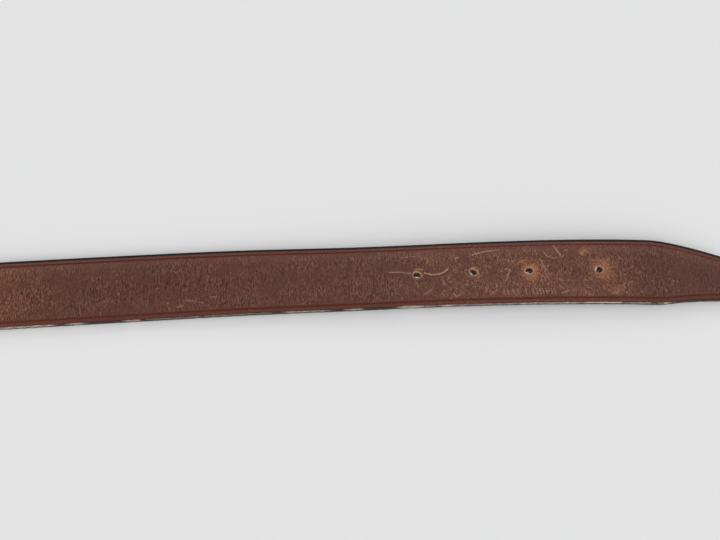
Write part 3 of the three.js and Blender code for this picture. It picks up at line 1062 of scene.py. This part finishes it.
# %% Marks on the brown face
HALOS = table(
    "along aside reach strength",
    (64.0, 0.1, 6.6, 0.75), (96.4, -0.5, 5.4, 1.0), (121.5, 0.0, 3.0, 0.35), (146.8, 0.8, 3.0, 0.45),
    (73.6, 2.7, 1.8, 0.3), (89.2, -2.8, 1.6, 0.3), (145.6, 9.4, 2.4, 0.25), (58.6, -9.7, 3.0, 0.5),
    (71.6, 8.8, 2.4, 0.45),
)
SCRATCHES = table(
    "start end bow width strength",
    ((159.2, 1.8), (149.9, 0.8), -0.35, 0.42, 0.7),
    ((143.6, 0.7), (136.1, 0.3), 0.7, 0.55, 0.9),
    ((136.1, 0.3), (133.2, 2.1), 0.26, 0.6, 1.0),
    ((147.3, 2.7), (144.6, 2.6), 0.0, 0.7, 0.45),
    ((122.4, 2.3), (121.0, 2.5), 0.0, 0.8, 0.6),
    ((119.9, 1.6), (119.5, -0.6), 0.3, 0.5, 0.6),
    ((153.3, 9.0), (150.6, 8.9), 0.0, 0.4, 0.45),
    ((149.4, 9.3), (147.2, 9.2), 0.0, 0.4, 0.4),
    ((142.7, 8.9), (141.9, 5.6), -0.3, 0.45, 0.5),
    ((155.9, 11.6), (156.1, 8.9), 0.0, 0.4, 0.35),
    ((121.5, 8.8), (113.0, 10.4), -0.25, 0.48, 1.0),
    ((113.0, 10.4), (110.4, 10.8), 0.0, 0.4, 0.5),
    ((105.6, 0.6), (107.3, -3.6), 0.2, 0.6, 0.6),
    ((105.9, 0.9), (105.4, 0.4), 0.0, 0.6, 0.9),
    ((102.6, 3.3), (97.1, 5.4), -0.35, 0.5, 0.45),
    ((93.3, 10.2), (92.6, 8.3), 0.2, 0.5, 0.4),
    ((83.9, 11.0), (82.1, 7.6), 0.15, 0.6, 1.0),
    ((89.2, 9.3), (87.6, 6.7), 0.3, 0.45, 0.55),
    ((87.6, 6.7), (86.2, 7.7), 0.25, 0.45, 0.55),
    ((86.2, 6.3), (84.2, 6.2), 0.4, 0.45, 0.5),
    ((81.8, 6.5), (80.6, 7.4), 0.1, 0.45, 0.5),
    ((91.6, 5.7), (89.7, -0.2), -0.3, 0.5, 0.6),
    ((79.9, 9.8), (78.5, 9.8), 0.0, 0.5, 0.4),
    ((72.9, 9.0), (71.6, 7.6), 0.2, 0.5, 0.6),
    ((71.8, 8.7), (70.6, 9.8), 0.0, 0.45, 0.6),
    ((70.6, 9.8), (69.4, 8.7), 0.0, 0.45, 0.55),
    ((55.9, -0.8), (56.4, -3.9), 0.0, 0.42, 0.45),
    ((83.9, -10.5), (80.6, -9.4), 0.1, 0.5, 0.7),
    ((73.6, -8.0), (70.2, -11.6), 1.3, 0.45, 0.4),
    ((72.6, -8.0), (69.4, -10.6), -0.9, 0.4, 0.3),
    ((62.8, -9.2), (59.0, -11.2), 0.3, 0.5, 0.45),
    ((61.5, -11.0), (58.2, -9.5), 0.2, 0.5, 0.5),
    ((135.8, -2.6), (135.0, -5.6), 0.1, 0.6, 0.4),
    ((133.0, -0.7), (133.2, -2.4), 0.0, 0.5, 0.35),
    ((131.8, -9.8), (130.4, -11.2), 0.0, 0.5, 0.7),
    ((130.4, -11.2), (129.0, -10.0), 0.0, 0.45, 0.6),
    ((125.5, -12.0), (125.8, -14.8), 0.1, 0.4, 0.6),
    ((115.3, -10.2), (112.7, -8.8), 0.1, 0.5, 0.45),
    ((112.2, -5.8), (112.5, -7.7), 0.0, 0.5, 0.35),
    ((144.7, -9.5), (141.0, -7.4), 0.2, 0.5, 0.5),
    ((248.7, -7.8), (240.9, -9.0), -0.3, 0.42, 0.4),
    ((237.5, -6.4), (235.2, -6.7), 0.0, 0.5, 0.45),
    ((251.8, -10.4), (249.4, -9.9), 0.0, 0.5, 0.45),
    ((254.8, 6.6), (251.6, 6.2), 0.3, 0.42, 0.3),
)
# How far along and aside each spot is, and how strong.
SPOTS = (
    (128.3, 7.5, 0.8), (129.3, 7.1, 0.6), (125.4, -5.7, 0.55), (127.6, -9.8, 0.5), (116.8, -8.0, 0.5),
    (107.1, 1.2, 0.6), (109.5, 0.1, 0.45), (97.8, 9.9, 0.55), (84.3, 11.8, 0.8), (88.1, 2.2, 0.5),
    (78.7, -9.5, 0.6), (72.6, -4.9, 0.5), (54.5, -10.6, 0.5), (55.1, -8.3, 0.45), (47.2, -1.1, 0.3),
    (47.5, -10.1, 0.35), (36.3, -9.4, 0.45), (33.9, -3.6, 0.3), (32.4, -4.5, 0.25), (30.4, -8.9, 0.3),
    (33.6, -10.5, 0.3), (89.7, -9.7, 0.7), (64.1, 4.5, 0.5), (60.4, 5.3, 0.5), (142.0, 6.0, 0.5),
)
SPOT_LENGTH = 0.5
SPOT_WIDTH = 0.55
LOW_RUBS = (109.4, 108.0, 105.5, 99.8, 96.5, 95.0, 93.5, 92.3, 90.8, 88.4, 86.9, 103.2)
RUB_FROM = -8.5
RUB_TO = -10.9
RUB_LEAN = 0.3
RUB_WIDTH = 0.42
RUB_STRENGTH = 0.55
TIP_ZONE = (45.0, 62.0)
HOLE_ZONE = (38.0, 62.0, 134.0, 164.0)
BUCKLE_ZONE = (140.0, 260.0)
END_ZONE = (290.0, 335.0)

marks = list(SCRATCHES)
for along, aside, strength in SPOTS:
    marks.append({
        "start": (along + SPOT_LENGTH / 2, aside), "end": (along - SPOT_LENGTH / 2, aside + SPOT_LENGTH / 2),
        "bow": 0.0, "width": SPOT_WIDTH, "strength": strength,
    })
for along in LOW_RUBS:
    marks.append({
        "start": (along, RUB_FROM), "end": (along - RUB_LEAN, RUB_TO),
        "bow": 0.0, "width": RUB_WIDTH, "strength": RUB_STRENGTH,
    })
print("marks on the brown face:", len(marks))

# %% [markdown]
# A material with a copy of the scratch group for every mark would be too big for the renderer. So each face
# of the leather keeps its own few nearest marks, and the material draws only those. The distance is
# measured from the face's nearest corner to the bowed line, as in the group.

# %% The nearest marks of each face
MARK_LAYERS = 3


def mark_gap(places, mark):
    """How far flat places are from the pale line of one mark."""
    start = np.array(mark["start"])
    run = np.array(mark["end"]) - start
    length = np.hypot(*run)
    ahead = (places - start) @ run / length ** 2
    aside = (places - start) @ np.array([-run[1], run[0]]) / length
    held = ahead.clip(0, 1)
    arch = 4 * held * (1 - held) * mark["bow"]
    return np.hypot(aside - arch, (ahead - held) * length) - mark["width"]


def places_in(mesh):
    return read_vectors(mesh.attributes["belt_place"].data, "vector", len(mesh.vertices))


def keep_nearest_marks(mesh):
    """Stores the nearest marks of each face, as the start, the end and the strength of every layer."""
    corners = np.empty(len(mesh.loops), int)
    mesh.loops.foreach_get("vertex_index", corners)
    first_corner = np.empty(len(mesh.polygons), int)
    mesh.polygons.foreach_get("loop_start", first_corner)
    places = places_in(mesh)[corners, :2]
    gaps = np.stack([np.minimum.reduceat(mark_gap(places, mark), first_corner) for mark in marks])
    nearest = np.argsort(gaps, axis=0)[:MARK_LAYERS]
    starts = np.array([(*mark["start"], mark["bow"]) for mark in marks])
    ends = np.array([(*mark["end"], mark["width"]) for mark in marks])
    strengths = np.array([mark["strength"] for mark in marks])
    for layer, chosen in enumerate(nearest):
        for name, values in (("start", starts), ("end", ends), ("strength", strengths)):
            keep(mesh, f"mark_{layer}_{name}", values[chosen], "FACE")
    print("faces under a mark:", int((gaps.min(axis=0) < 0).sum()), "of", len(mesh.polygons))


keep_nearest_marks(brown_face.data)

# %% [markdown]
# The near rim has rubbed through in long stretches, and each one has its own character: bare pale fibre,
# grey smear, or paint that held. So the stretches are a table, read along the strap, of how bare the upper
# and the lower leather's edge is, from 0 for sound paint to 1 for clean fibre, and how far over onto the
# brown face the rubbing reaches, in millimetres. Past the table the rim is rubbed evenly. Both the paint
# and the brown leather need this, so the vertices keep it. A noise shifts the places a little, and the
# lower edge starts later than the upper one, so that no stretch ends squarely.

# %% Wear along the near rim
RIM_STRETCHES = table(
    "from to upper lower over",
    (25.0, 34.0, 0.2, 0.1, 0.1), (34.0, 40.0, 0.9, 0.5, 0.4), (42.5, 56.5, 0.6, 0.35, 0.1),
    (56.5, 75.0, 0.95, 0.1, 0.0), (75.0, 105.0, 0.7, 0.4, 0.0), (105.0, 107.8, 1.0, 0.9, 0.4),
    (107.6, 125.0, 0.55, 0.3, 0.0), (125.0, 131.0, 0.6, 0.5, 0.1), (131.0, 138.5, 0.85, 0.6, 0.4),
    (138.5, 145.0, 0.55, 0.4, 0.4), (145.0, 157.0, 0.85, 0.6, 0.65), (171.0, 179.0, 0.8, 0.35, 0.3),
    (186.0, 206.0, 0.65, 0.3, 0.3), (210.0, 264.0, 0.4, 0.15, 0.2), (267.0, 275.0, 0.7, 0.45, 0.3),
    (291.0, 299.0, 0.85, 0.4, 0.4), (303.0, 335.0, 0.75, 0.4, 0.4),
)
RUBBED_SHARE = 0.45
RUBBED_SIZE = 14.0
LOWER_SHARE = 0.6
FRAY = 2.2
SOFT_END = 4.0
LOWER_LAG = 1.5


def keep_rim_state(mesh):
    """Stores how bare the upper and lower edges are near each vertex, and the reach over the rim."""
    along = places_in(mesh)[:, 0]
    jitter = np.array([noise.noise(Vector((a / RAGGED_SIZE, 7.0, 0.0))) for a in along])
    swell = np.array([noise.noise(Vector((a / RUBBED_SIZE, 3.0, 0.0))) for a in along])
    state = np.zeros((len(along), 3))
    beyond = along > RIM_STRETCHES[-1]["to"]
    state[beyond, :2] = (RUBBED_SHARE + swell[beyond, None]) * (1.0, LOWER_SHARE)
    shifted = along + FRAY * jitter
    for row in RIM_STRETCHES:
        depth = np.minimum(shifted - row["from"], row["to"] - shifted)
        upper = (depth / SOFT_END + 0.5).clip(0, 1)
        lower = ((depth - LOWER_LAG) / SOFT_END + 0.5).clip(0, 1)
        reached = (upper * row["upper"], lower * row["lower"], lower * row["over"])
        state = np.maximum(state, np.column_stack(reached))
    keep(mesh, "rim_state", state)


for made in (brown_face, edge_paint):
    keep_rim_state(made.data)
    print(made.name, "keeps", len(made.data.attributes), "attributes")

# %% [markdown]
# From below upwards the brown face has the red-brown of the dye in slow clouds, darker pores as painted
# shade in the grain's hollows, specks, the halos round the holes, and the crests of the creases, lighter
# both from rubbing and as painted highlight, which turn pale round the holes and tan at the end of what the
# picture shows. In patches the grain is rubbed smooth: there the crests fade and the ground between them is
# lighter. Then come a ring at each hole and the scratches, in the tan of the leather under the finish, with
# a thin painted shadow beside the deep scratches, and a torn lip at each hole, painted near white both as
# pale fibre and as the lit surface seen through the hole. Along the sides the margin outside the seam is
# redder, the seam's groove and the needle pits get painted shade, a band of painted highlight lies inside
# the far seam and one of painted shade inside the near seam, and the near rim has a band of painted shade
# and is scuffed.

# %% The brown leather's colours and sizes
BROWN = screen_colour(70, 35, 24)
BROWN_DARK = screen_colour(64, 31, 20)
BROWN_RED = screen_colour(100, 50, 33)
CREST = screen_colour(131, 94, 83)
PALE_CREST = screen_colour(151, 101, 77)
SHADE_BROWN = screen_colour(60, 28, 18)
WARM = screen_colour(112, 68, 50)
TAN = screen_colour(172, 132, 104)
ORANGE_TAN = screen_colour(168, 110, 72)
PIT_SHADE = screen_colour(42, 15, 9)
TORN_FIBRE_AND_LIGHT = screen_colour(204, 198, 184)
NEAR_RIM_SHADE = screen_colour(70, 38, 34)
BUCKLE_TINT = (0.97, 0.9, 0.79, 1.0)
SIDE_FROM = 4.0
SIDE_FULL = 7.0
MARGIN = (3.0, 2.0)
NEAR_MARGIN_SHIFT = 0.6
BESIDE_SEAM = (7.5, 3.5)
NEAR_RIM = (2.0, 0.5)
RING_OUTSIDE = (0.8, 0.4)
RING_INSIDE = (-0.05, 0.15)
LIP_INSIDE = (-0.06, -0.16)
SEAM_SHADE_RISE = (130.0, 190.0)

brown_leather, shader = new_material("worn brown leather")
place = kept(shader, "belt_place")
edge = kept(shader, "belt_edge")
along, aside, _ = split(place)
inset, _, from_hole = split(edge)
print("the torn leather as Blender mixes it:", [round(part, 3) for part in TORN_FIBRE_AND_LIGHT])

# %% The ground and the grain of the brown leather
zone_start, zone_full, zone_fade, zone_end = HOLE_ZONE
in_zone = ramp(along, zone_start, zone_full) * ramp(along, zone_end, zone_fade)
near_end = ramp(along, *END_ZONE)
toward_buckle = ramp(along, *BUCKLE_ZONE)
grained = use_group(grain, {"Place": place, "Worms": in_zone})
clouds = noise_at(place, (0.035, 0.07, 1), 3.0, 0.6)
smooth = ramp(noise_at(place, (0.07, 0.11, 1), 1.0, 0.5), 0.62, 0.38)

colour = blend(ramp(clouds, 0.35, 0.65), BROWN_DARK, BROWN)
colour = blend(in_zone * 0.03, colour, WARM)
# Painted shade in the grain's hollows; towards the end of what the picture shows the ground is also darker.
hollow_shade = ramp(grained["Tone"], 0.5, 0.0, 0.0, near_end * 0.7 + 0.24)
colour = blend(near_end * 0.6 + hollow_shade, colour, SHADE_BROWN)
colour = blend(smooth * 0.13, colour, CREST)
amount = in_zone * 0.5 + near_end * 0.42 + 0.15
speckled = use_group(specks, {"Place": place, "Amount": amount})["Mask"]
colour = blend(speckled * 0.6, colour, TAN)
print("nodes in the ground:", len(brown_leather.node_tree.nodes))

# %% Halos, rubbed crests and the holes' rims
patches = noise_at(place, (0.9, 0.9, 1), 3.0, 0.65)
for row in HALOS:
    mask = use_group(halo, {
        "Place": place, "Centre": (row["along"], row["aside"], 0), "Reach": row["reach"], "Patches": patches,
    })["Mask"]
    colour = blend(mask * row["strength"], colour, ORANGE_TAN)

# The crests of the creases are lighter, both as rubbed leather and as painted highlight.
texture = (near_end * 0.32 + 1.0 - smooth * 0.5) * ramp(along, *TIP_ZONE, 0.8, 1.0)
rubbed = (in_zone * 0.08 + 0.8 - toward_buckle * 0.03) * ramp(abs(aside), 1.0, 10.0, 0.86, 1.0)
crest_colour = blend(in_zone * 0.55, CREST, PALE_CREST)
crest_colour = blend(near_end * 0.35, crest_colour, ORANGE_TAN)
colour = blend(grained["Crests"] * texture * rubbed, colour, crest_colour)

ring = ramp(from_hole, *RING_OUTSIDE) * ramp(from_hole, *RING_INSIDE)
colour = blend(ring * ramp(patches, 0.3, 0.6, 0.35, 0.8), colour, TAN)
# The torn lip, painted near white both as pale fibre and as the lit surface seen through the hole.
colour = blend(ramp(from_hole, *LIP_INSIDE), colour, TORN_FIBRE_AND_LIGHT)
colour = blend(toward_buckle, colour, blend(1.0, colour, BUCKLE_TINT, "MULTIPLY"))
print("nodes with the halos:", len(brown_leather.node_tree.nodes))

# %% Scratches on the brown leather
wander = noise_at(place, (0.5, 0.5, 1), 2.0, 0.5) * 0.8 - 0.4
skips = ramp(noise_at(place, (1.6, 1.6, 1), 2.0, 0.6), 0.3, 0.48)
found = dict.fromkeys(("Mask", "Deep", "Shade"), 0.0)
for layer in range(MARK_LAYERS):
    drawn = use_group(scratch, {
        "Place": place, "Wander": wander, "Skips": skips, "Start": kept(shader, f"mark_{layer}_start"),
        "End": kept(shader, f"mark_{layer}_end"), "Strength": kept(shader, f"mark_{layer}_strength", "Fac"),
    })
    for name in found:
        found[name] = maths("MAXIMUM", found[name], drawn[name])
# Painted shadow beside the deep scratches, then the pale scratches themselves.
colour = blend(found["Shade"] * 0.5, colour, SHADE_BROWN)
colour = blend(found["Mask"], colour, TAN)
print("nodes with the scratches:", len(brown_leather.node_tree.nodes))

# %% The sides of the brown leather, and its shader
on_near_side = ramp(aside, -SIDE_FROM, -SIDE_FULL)
on_far_side = ramp(aside, SIDE_FROM, SIDE_FULL)
margin = ramp(inset - on_near_side * NEAR_MARGIN_SHIFT, *MARGIN)
colour = blend(margin * 0.45, colour, BROWN_RED)
# A band of painted highlight inside the far seam and one of painted shade inside the near seam.
seam_band_light_and_shade = ramp(inset, *BESIDE_SEAM)
colour = blend(seam_band_light_and_shade * on_far_side * 0.16, colour, CREST)
colour = blend(seam_band_light_and_shade * on_near_side * 0.08, colour, SHADE_BROWN)
# Painted shade on the near rim.
colour = blend(ramp(inset, *NEAR_RIM) * on_near_side * 0.15, colour, NEAR_RIM_SHADE)
sewn = use_group(pits, {"Edge": edge})
# Painted shade in the seam's groove, growing towards the buckle on the far side, and in the needle pits.
hole_press_and_groove_shade = on_far_side * ramp(along, *SEAM_SHADE_RISE, 0.06, 0.42) + on_near_side * 0.28
colour = blend(sewn["Seam"] * hole_press_and_groove_shade, colour, PIT_SHADE)
colour = blend(sewn["Pit"] * 0.3, colour, PIT_SHADE)
reach_over = split(kept(shader, "rim_state"))[2]
scuffed = ramp(patches * 0.5 + inset - reach_over, 0.3, 0.05) * on_near_side
colour = blend(scuffed * 0.85, colour, TAN)

dry = maths("MAXIMUM", found["Mask"], speckled)
relief = grained["Height"] - found["Deep"] * 0.6 - sewn["Pit"] * 0.6
fill(shader, {
    "Base Color": colour, "Roughness": dry * 0.15 + 0.62, "Specular IOR Level": 0.2,
    "Normal": bumped(relief, 0.16 * MM, 0.8),
})
join_belt(brown_face, brown_leather, "brown_leather", "face_leather")

# %% [markdown]
# The black reverse was worn against trousers and sees less rubbing. It shares the grain, the specks and the
# needle pits, has a softer sheen, and turns slightly grey on the raised grain and round the rims of the
# holes. Its flesh side, glued to the brown leather, was never dyed. It shows only as a crescent inside the
# holes.

# %% The black leather
BLACK = screen_colour(26, 23, 23)
BLACK_WORN = screen_colour(58, 52, 49)
BLACK_PIT_SHADE = screen_colour(12, 10, 10)
FLESH = screen_colour(150, 142, 128)
FLESH_HEIGHT = (1.3, 1.5)
HOLE_RUBBED = (1.2, 0.1)

black_leather, shader = new_material("soft black leather")
place = kept(shader, "belt_place")
edge = kept(shader, "belt_edge")
grained = use_group(grain, {"Place": place, "Worms": 0.3})
speckled = use_group(specks, {"Place": place, "Amount": 0.2})["Mask"]
sewn = use_group(pits, {"Edge": edge})
colour = blend(grained["Crests"] * 0.35, BLACK, BLACK_WORN)
colour = blend(speckled * 0.35, colour, BLACK_WORN)
colour = blend(ramp(split(edge)[2], *HOLE_RUBBED) * 0.5, colour, BLACK_WORN)
# Painted shade in the needle pits.
colour = blend(sewn["Pit"] * 0.7, colour, BLACK_PIT_SHADE)
colour = blend(ramp(split(place)[2], *FLESH_HEIGHT), colour, FLESH)
fill(shader, {
    "Base Color": colour, "Roughness": speckled * 0.2 + 0.48, "Specular IOR Level": 0.45,
    "Normal": bumped(grained["Height"] - sewn["Pit"] * 0.8, 0.18 * MM, 0.8),
})
join_belt(black_reverse, black_leather, "black_leather", "reverse_leather")

# %% [markdown]
# The thread is dark red and waxed. Its two strands are twisted, which shows as slanting ridges on each
# stitch with painted shade in the grooves between them, and the ends of a stitch get painted shade where
# they dive into the leather. Each stitch keeps its own place and shade, so the pattern turns with it.

# %% The waxed thread
THREAD = screen_colour(122, 24, 17)
THREAD_LIGHT = screen_colour(150, 38, 28)
THREAD_SHADE = screen_colour(78, 22, 16)

thread, shader = new_material("waxed red thread")
_, thread_side, thread_run = split(kept(shader, "stitch_place"))
twist = ramp(maths("SINE", thread_side * 2.2 + thread_run * 9.0), -0.6, 0.8)
colour = blend(kept(shader, "stitch_shade", "Fac"), THREAD, THREAD_LIGHT)
# Painted shade in the grooves between the twisted strands, and at the ends where a stitch dives in.
colour = blend(twist * 0.45, THREAD_SHADE, colour)
colour = blend(ramp(abs(thread_run), 0.6, 1.0) * 0.7, colour, THREAD_SHADE)
fill(shader, {
    "Base Color": colour, "Roughness": 0.55, "Specular IOR Level": 0.18, "Normal": bumped(twist, 0.08 * MM),
})
join_belt(face_stitches, thread, "stitch_thread")
join_belt(reverse_stitches, thread, "stitch_thread")

# %% [markdown]
# The edge paint is a warm black on the far side. On the near side it goes from paint through a grey smear
# to bare fibre. A noise that is stretched along the rim breaks each state up into short streaks, so that it
# looks like rubbing and not like a pattern.

# %% The edge paint
PAINT = screen_colour(36, 25, 22)
GREY_SMEAR = screen_colour(112, 105, 100)
FIBRE = screen_colour(186, 174, 160)
UPPER_FROM = 1.9
UPPER_FULL = 3.3
NEAR_EDGE = (-5.0, -9.0)
UNDER_EDGE = (0.25, 0.7)

coat, shader = new_material("worn edge paint")
place = kept(shader, "belt_place")
_, aside, height = split(place)
upper_bare, lower_bare, _ = split(kept(shader, "rim_state"))
streaks = noise_at(place, (0.7, 1, 2.4), 4.0, 0.68)
chips = noise_at(place, (0.4, 1, 0.9), 3.0, 0.6)
upper_half = ramp(chips * 1.6 + height, UPPER_FROM, UPPER_FULL)
worn = between(upper_half, lower_bare, upper_bare) + (streaks - 0.5) * 1.9 + (chips - 0.5) * 1.3
bare = worn * ramp(aside, *NEAR_EDGE) * ramp(height, *UNDER_EDGE, 0.4, 1.0)
colour = blend(ramp(bare, 0.12, 0.5), PAINT, GREY_SMEAR)
colour = blend(ramp(bare, 0.55, 1.0), colour, FIBRE)
fill(shader, {
    "Base Color": colour, "Roughness": ramp(bare, 0.1, 1.0) * 0.3 + 0.6, "Specular IOR Level": 0.2,
    "Normal": bumped(streaks, 0.1 * MM, 0.7),
})
join_belt(edge_paint, coat, "edge_coat")

# %% [markdown]
# The buckle is brushed steel. Brushing runs one way, so the noise is stretched along the belt until it is
# all fine lines, and these change the colour, the roughness and the height a little. Hands and cloth polish
# every bevel and corner, which are the places that face none of the belt's own directions. A few faint
# smudges keep the flat faces from looking new.

# %% The brushed steel
STEEL = screen_colour(182, 180, 176)
STEEL_DULL = screen_colour(150, 147, 142)
STEEL_POLISHED = screen_colour(208, 206, 202)

steel, shader = new_material("brushed steel")
object_place = Signal(add_node(shader.id_data, "ShaderNodeTexCoord")["Object"])
normal = Signal(add_node(shader.id_data, "ShaderNodeNewGeometry")["Normal"])
brushing = noise_at(object_place, (70, 2600, 2600), 4.0, 0.7)
smudges = noise_at(object_place, (120, 140, 140), 2.0, 0.5)
facing_x, facing_y, facing_z = split(vector_maths("ABSOLUTE", normal))
polished = ramp(maths("MAXIMUM", maths("MAXIMUM", facing_x, facing_y), facing_z), 0.97, 0.86)
colour = blend(ramp(brushing, 0.36, 0.64, 0.75, 0.0), STEEL, STEEL_DULL)
colour = blend(ramp(smudges, 0.5, 0.75, 0.0, 0.3), colour, STEEL_DULL)
colour = blend(polished * 0.7, colour, STEEL_POLISHED)
fill(shader, {
    "Base Color": colour, "Metallic": 1.0,
    "Roughness": brushing * 0.25 + 0.2 + smudges * 0.1 - polished * 0.12,
    "Normal": bumped(brushing, 0.03 * MM, 0.6),
})
join_belt(buckle_metal, steel, "brushed_metal", "buckle")

# %% [markdown]
# The belt lies on a plain pale surface, as in a light tent: white from above, brighter towards the near
# side and dimmer at the far one. The near side's light reaches in under the lifted near edge, so no dark
# gap shows there, and the belt's soft shadow falls on the far side. A large soft glow low on the far side
# adds the wide, faint shadow on the near side. A lamp could give it too, but it would leave a bright pool
# on the surface behind the belt, so the glow is a part of the sky. The camera itself sees an even sky, as
# pale as the surface.

# %% The surface and the light
FLOOR_SIZE = 6.0
SKY_STRENGTH = 0.87
SKY_SLOPE = 0.8
GLOW_TOWARD = Vector((0.1, 0.86, 0.5)).normalized()
GLOW_EDGE = (0.925, 0.97)
GLOW_STRENGTH = 2.1
SEEN_STRENGTH = 0.76

floor_mesh = bpy.data.meshes.new("surface")
bm = bmesh.new()
bmesh.ops.create_grid(bm, x_segments=1, y_segments=1, size=FLOOR_SIZE / 2)
bm.to_mesh(floor_mesh)
bm.free()
floor = bpy.data.objects.new("surface", floor_mesh)
bpy.context.scene.collection.objects.link(floor)
paper, shader = new_material("pale matt paper")
fill(shader, {"Base Color": screen_colour(230, 230, 231), "Roughness": 0.9, "Specular IOR Level": 0.1})
floor_mesh.materials.append(paper)

world = bpy.data.worlds.new("white sky")
world.use_nodes = True
sky = next(n for n in world.node_tree.nodes if n.type == "BACKGROUND")
sky_direction = Signal(add_node(world.node_tree, "ShaderNodeTexCoord")["Generated"])
seen = Signal(add_node(world.node_tree, "ShaderNodeLightPath")["Is Camera Ray"])
sloped = split(sky_direction)[1] * (-SKY_SLOPE * SKY_STRENGTH) + SKY_STRENGTH
glow = ramp(vector_maths("DOT_PRODUCT", sky_direction, GLOW_TOWARD), *GLOW_EDGE, 0.0, GLOW_STRENGTH)
fill(sky, {"Color": (1, 1, 1, 1), "Strength": between(seen, sloped + glow, SEEN_STRENGTH)})
bpy.context.scene.world = world
bpy.context.scene.view_settings.view_transform = "Standard"
print("the glow stands", round(math.degrees(math.asin(GLOW_TOWARD.z))), "degrees above the far side")

# %% [markdown]
# The camera stands over the tip end, 20 degrees off straight down and turned slightly, as the picture was
# taken. Its place was worked out from the width of the strap, the spacing of the holes and how much of the
# near edge shows. The belt runs out of the left edge of the frame, and the last of its tip out of the right
# one.

# %% The camera
CAMERA_PLACE = (-182.1, -83.1, 238.1)
CAMERA_TURNS = (("Z", -3.5), ("X", 20.0), ("Y", -1.33))
PICTURE_WIDTH = 720
FOCAL_PIXELS = 559.68
SENSOR_WIDTH = 36.0

camera_data = bpy.data.cameras.new("camera")
camera_data.sensor_width = SENSOR_WIDTH
camera_data.lens = FOCAL_PIXELS / PICTURE_WIDTH * SENSOR_WIDTH
camera_data.clip_start = 0.01
camera = bpy.data.objects.new("camera", camera_data)
turn = Matrix.Identity(3)
for axis, degrees in CAMERA_TURNS:
    turn = turn @ Matrix.Rotation(math.radians(degrees), 3, axis)
camera.rotation_euler = turn.to_euler()
camera.location = Vector((TIP[0] + CAMERA_PLACE[0], TIP[1] + CAMERA_PLACE[1], CAMERA_PLACE[2])) * MM
bpy.context.scene.collection.objects.link(camera)
bpy.context.scene.camera = camera
print("camera at", camera.location[:], "with a lens of", round(camera_data.lens, 2), "mm")
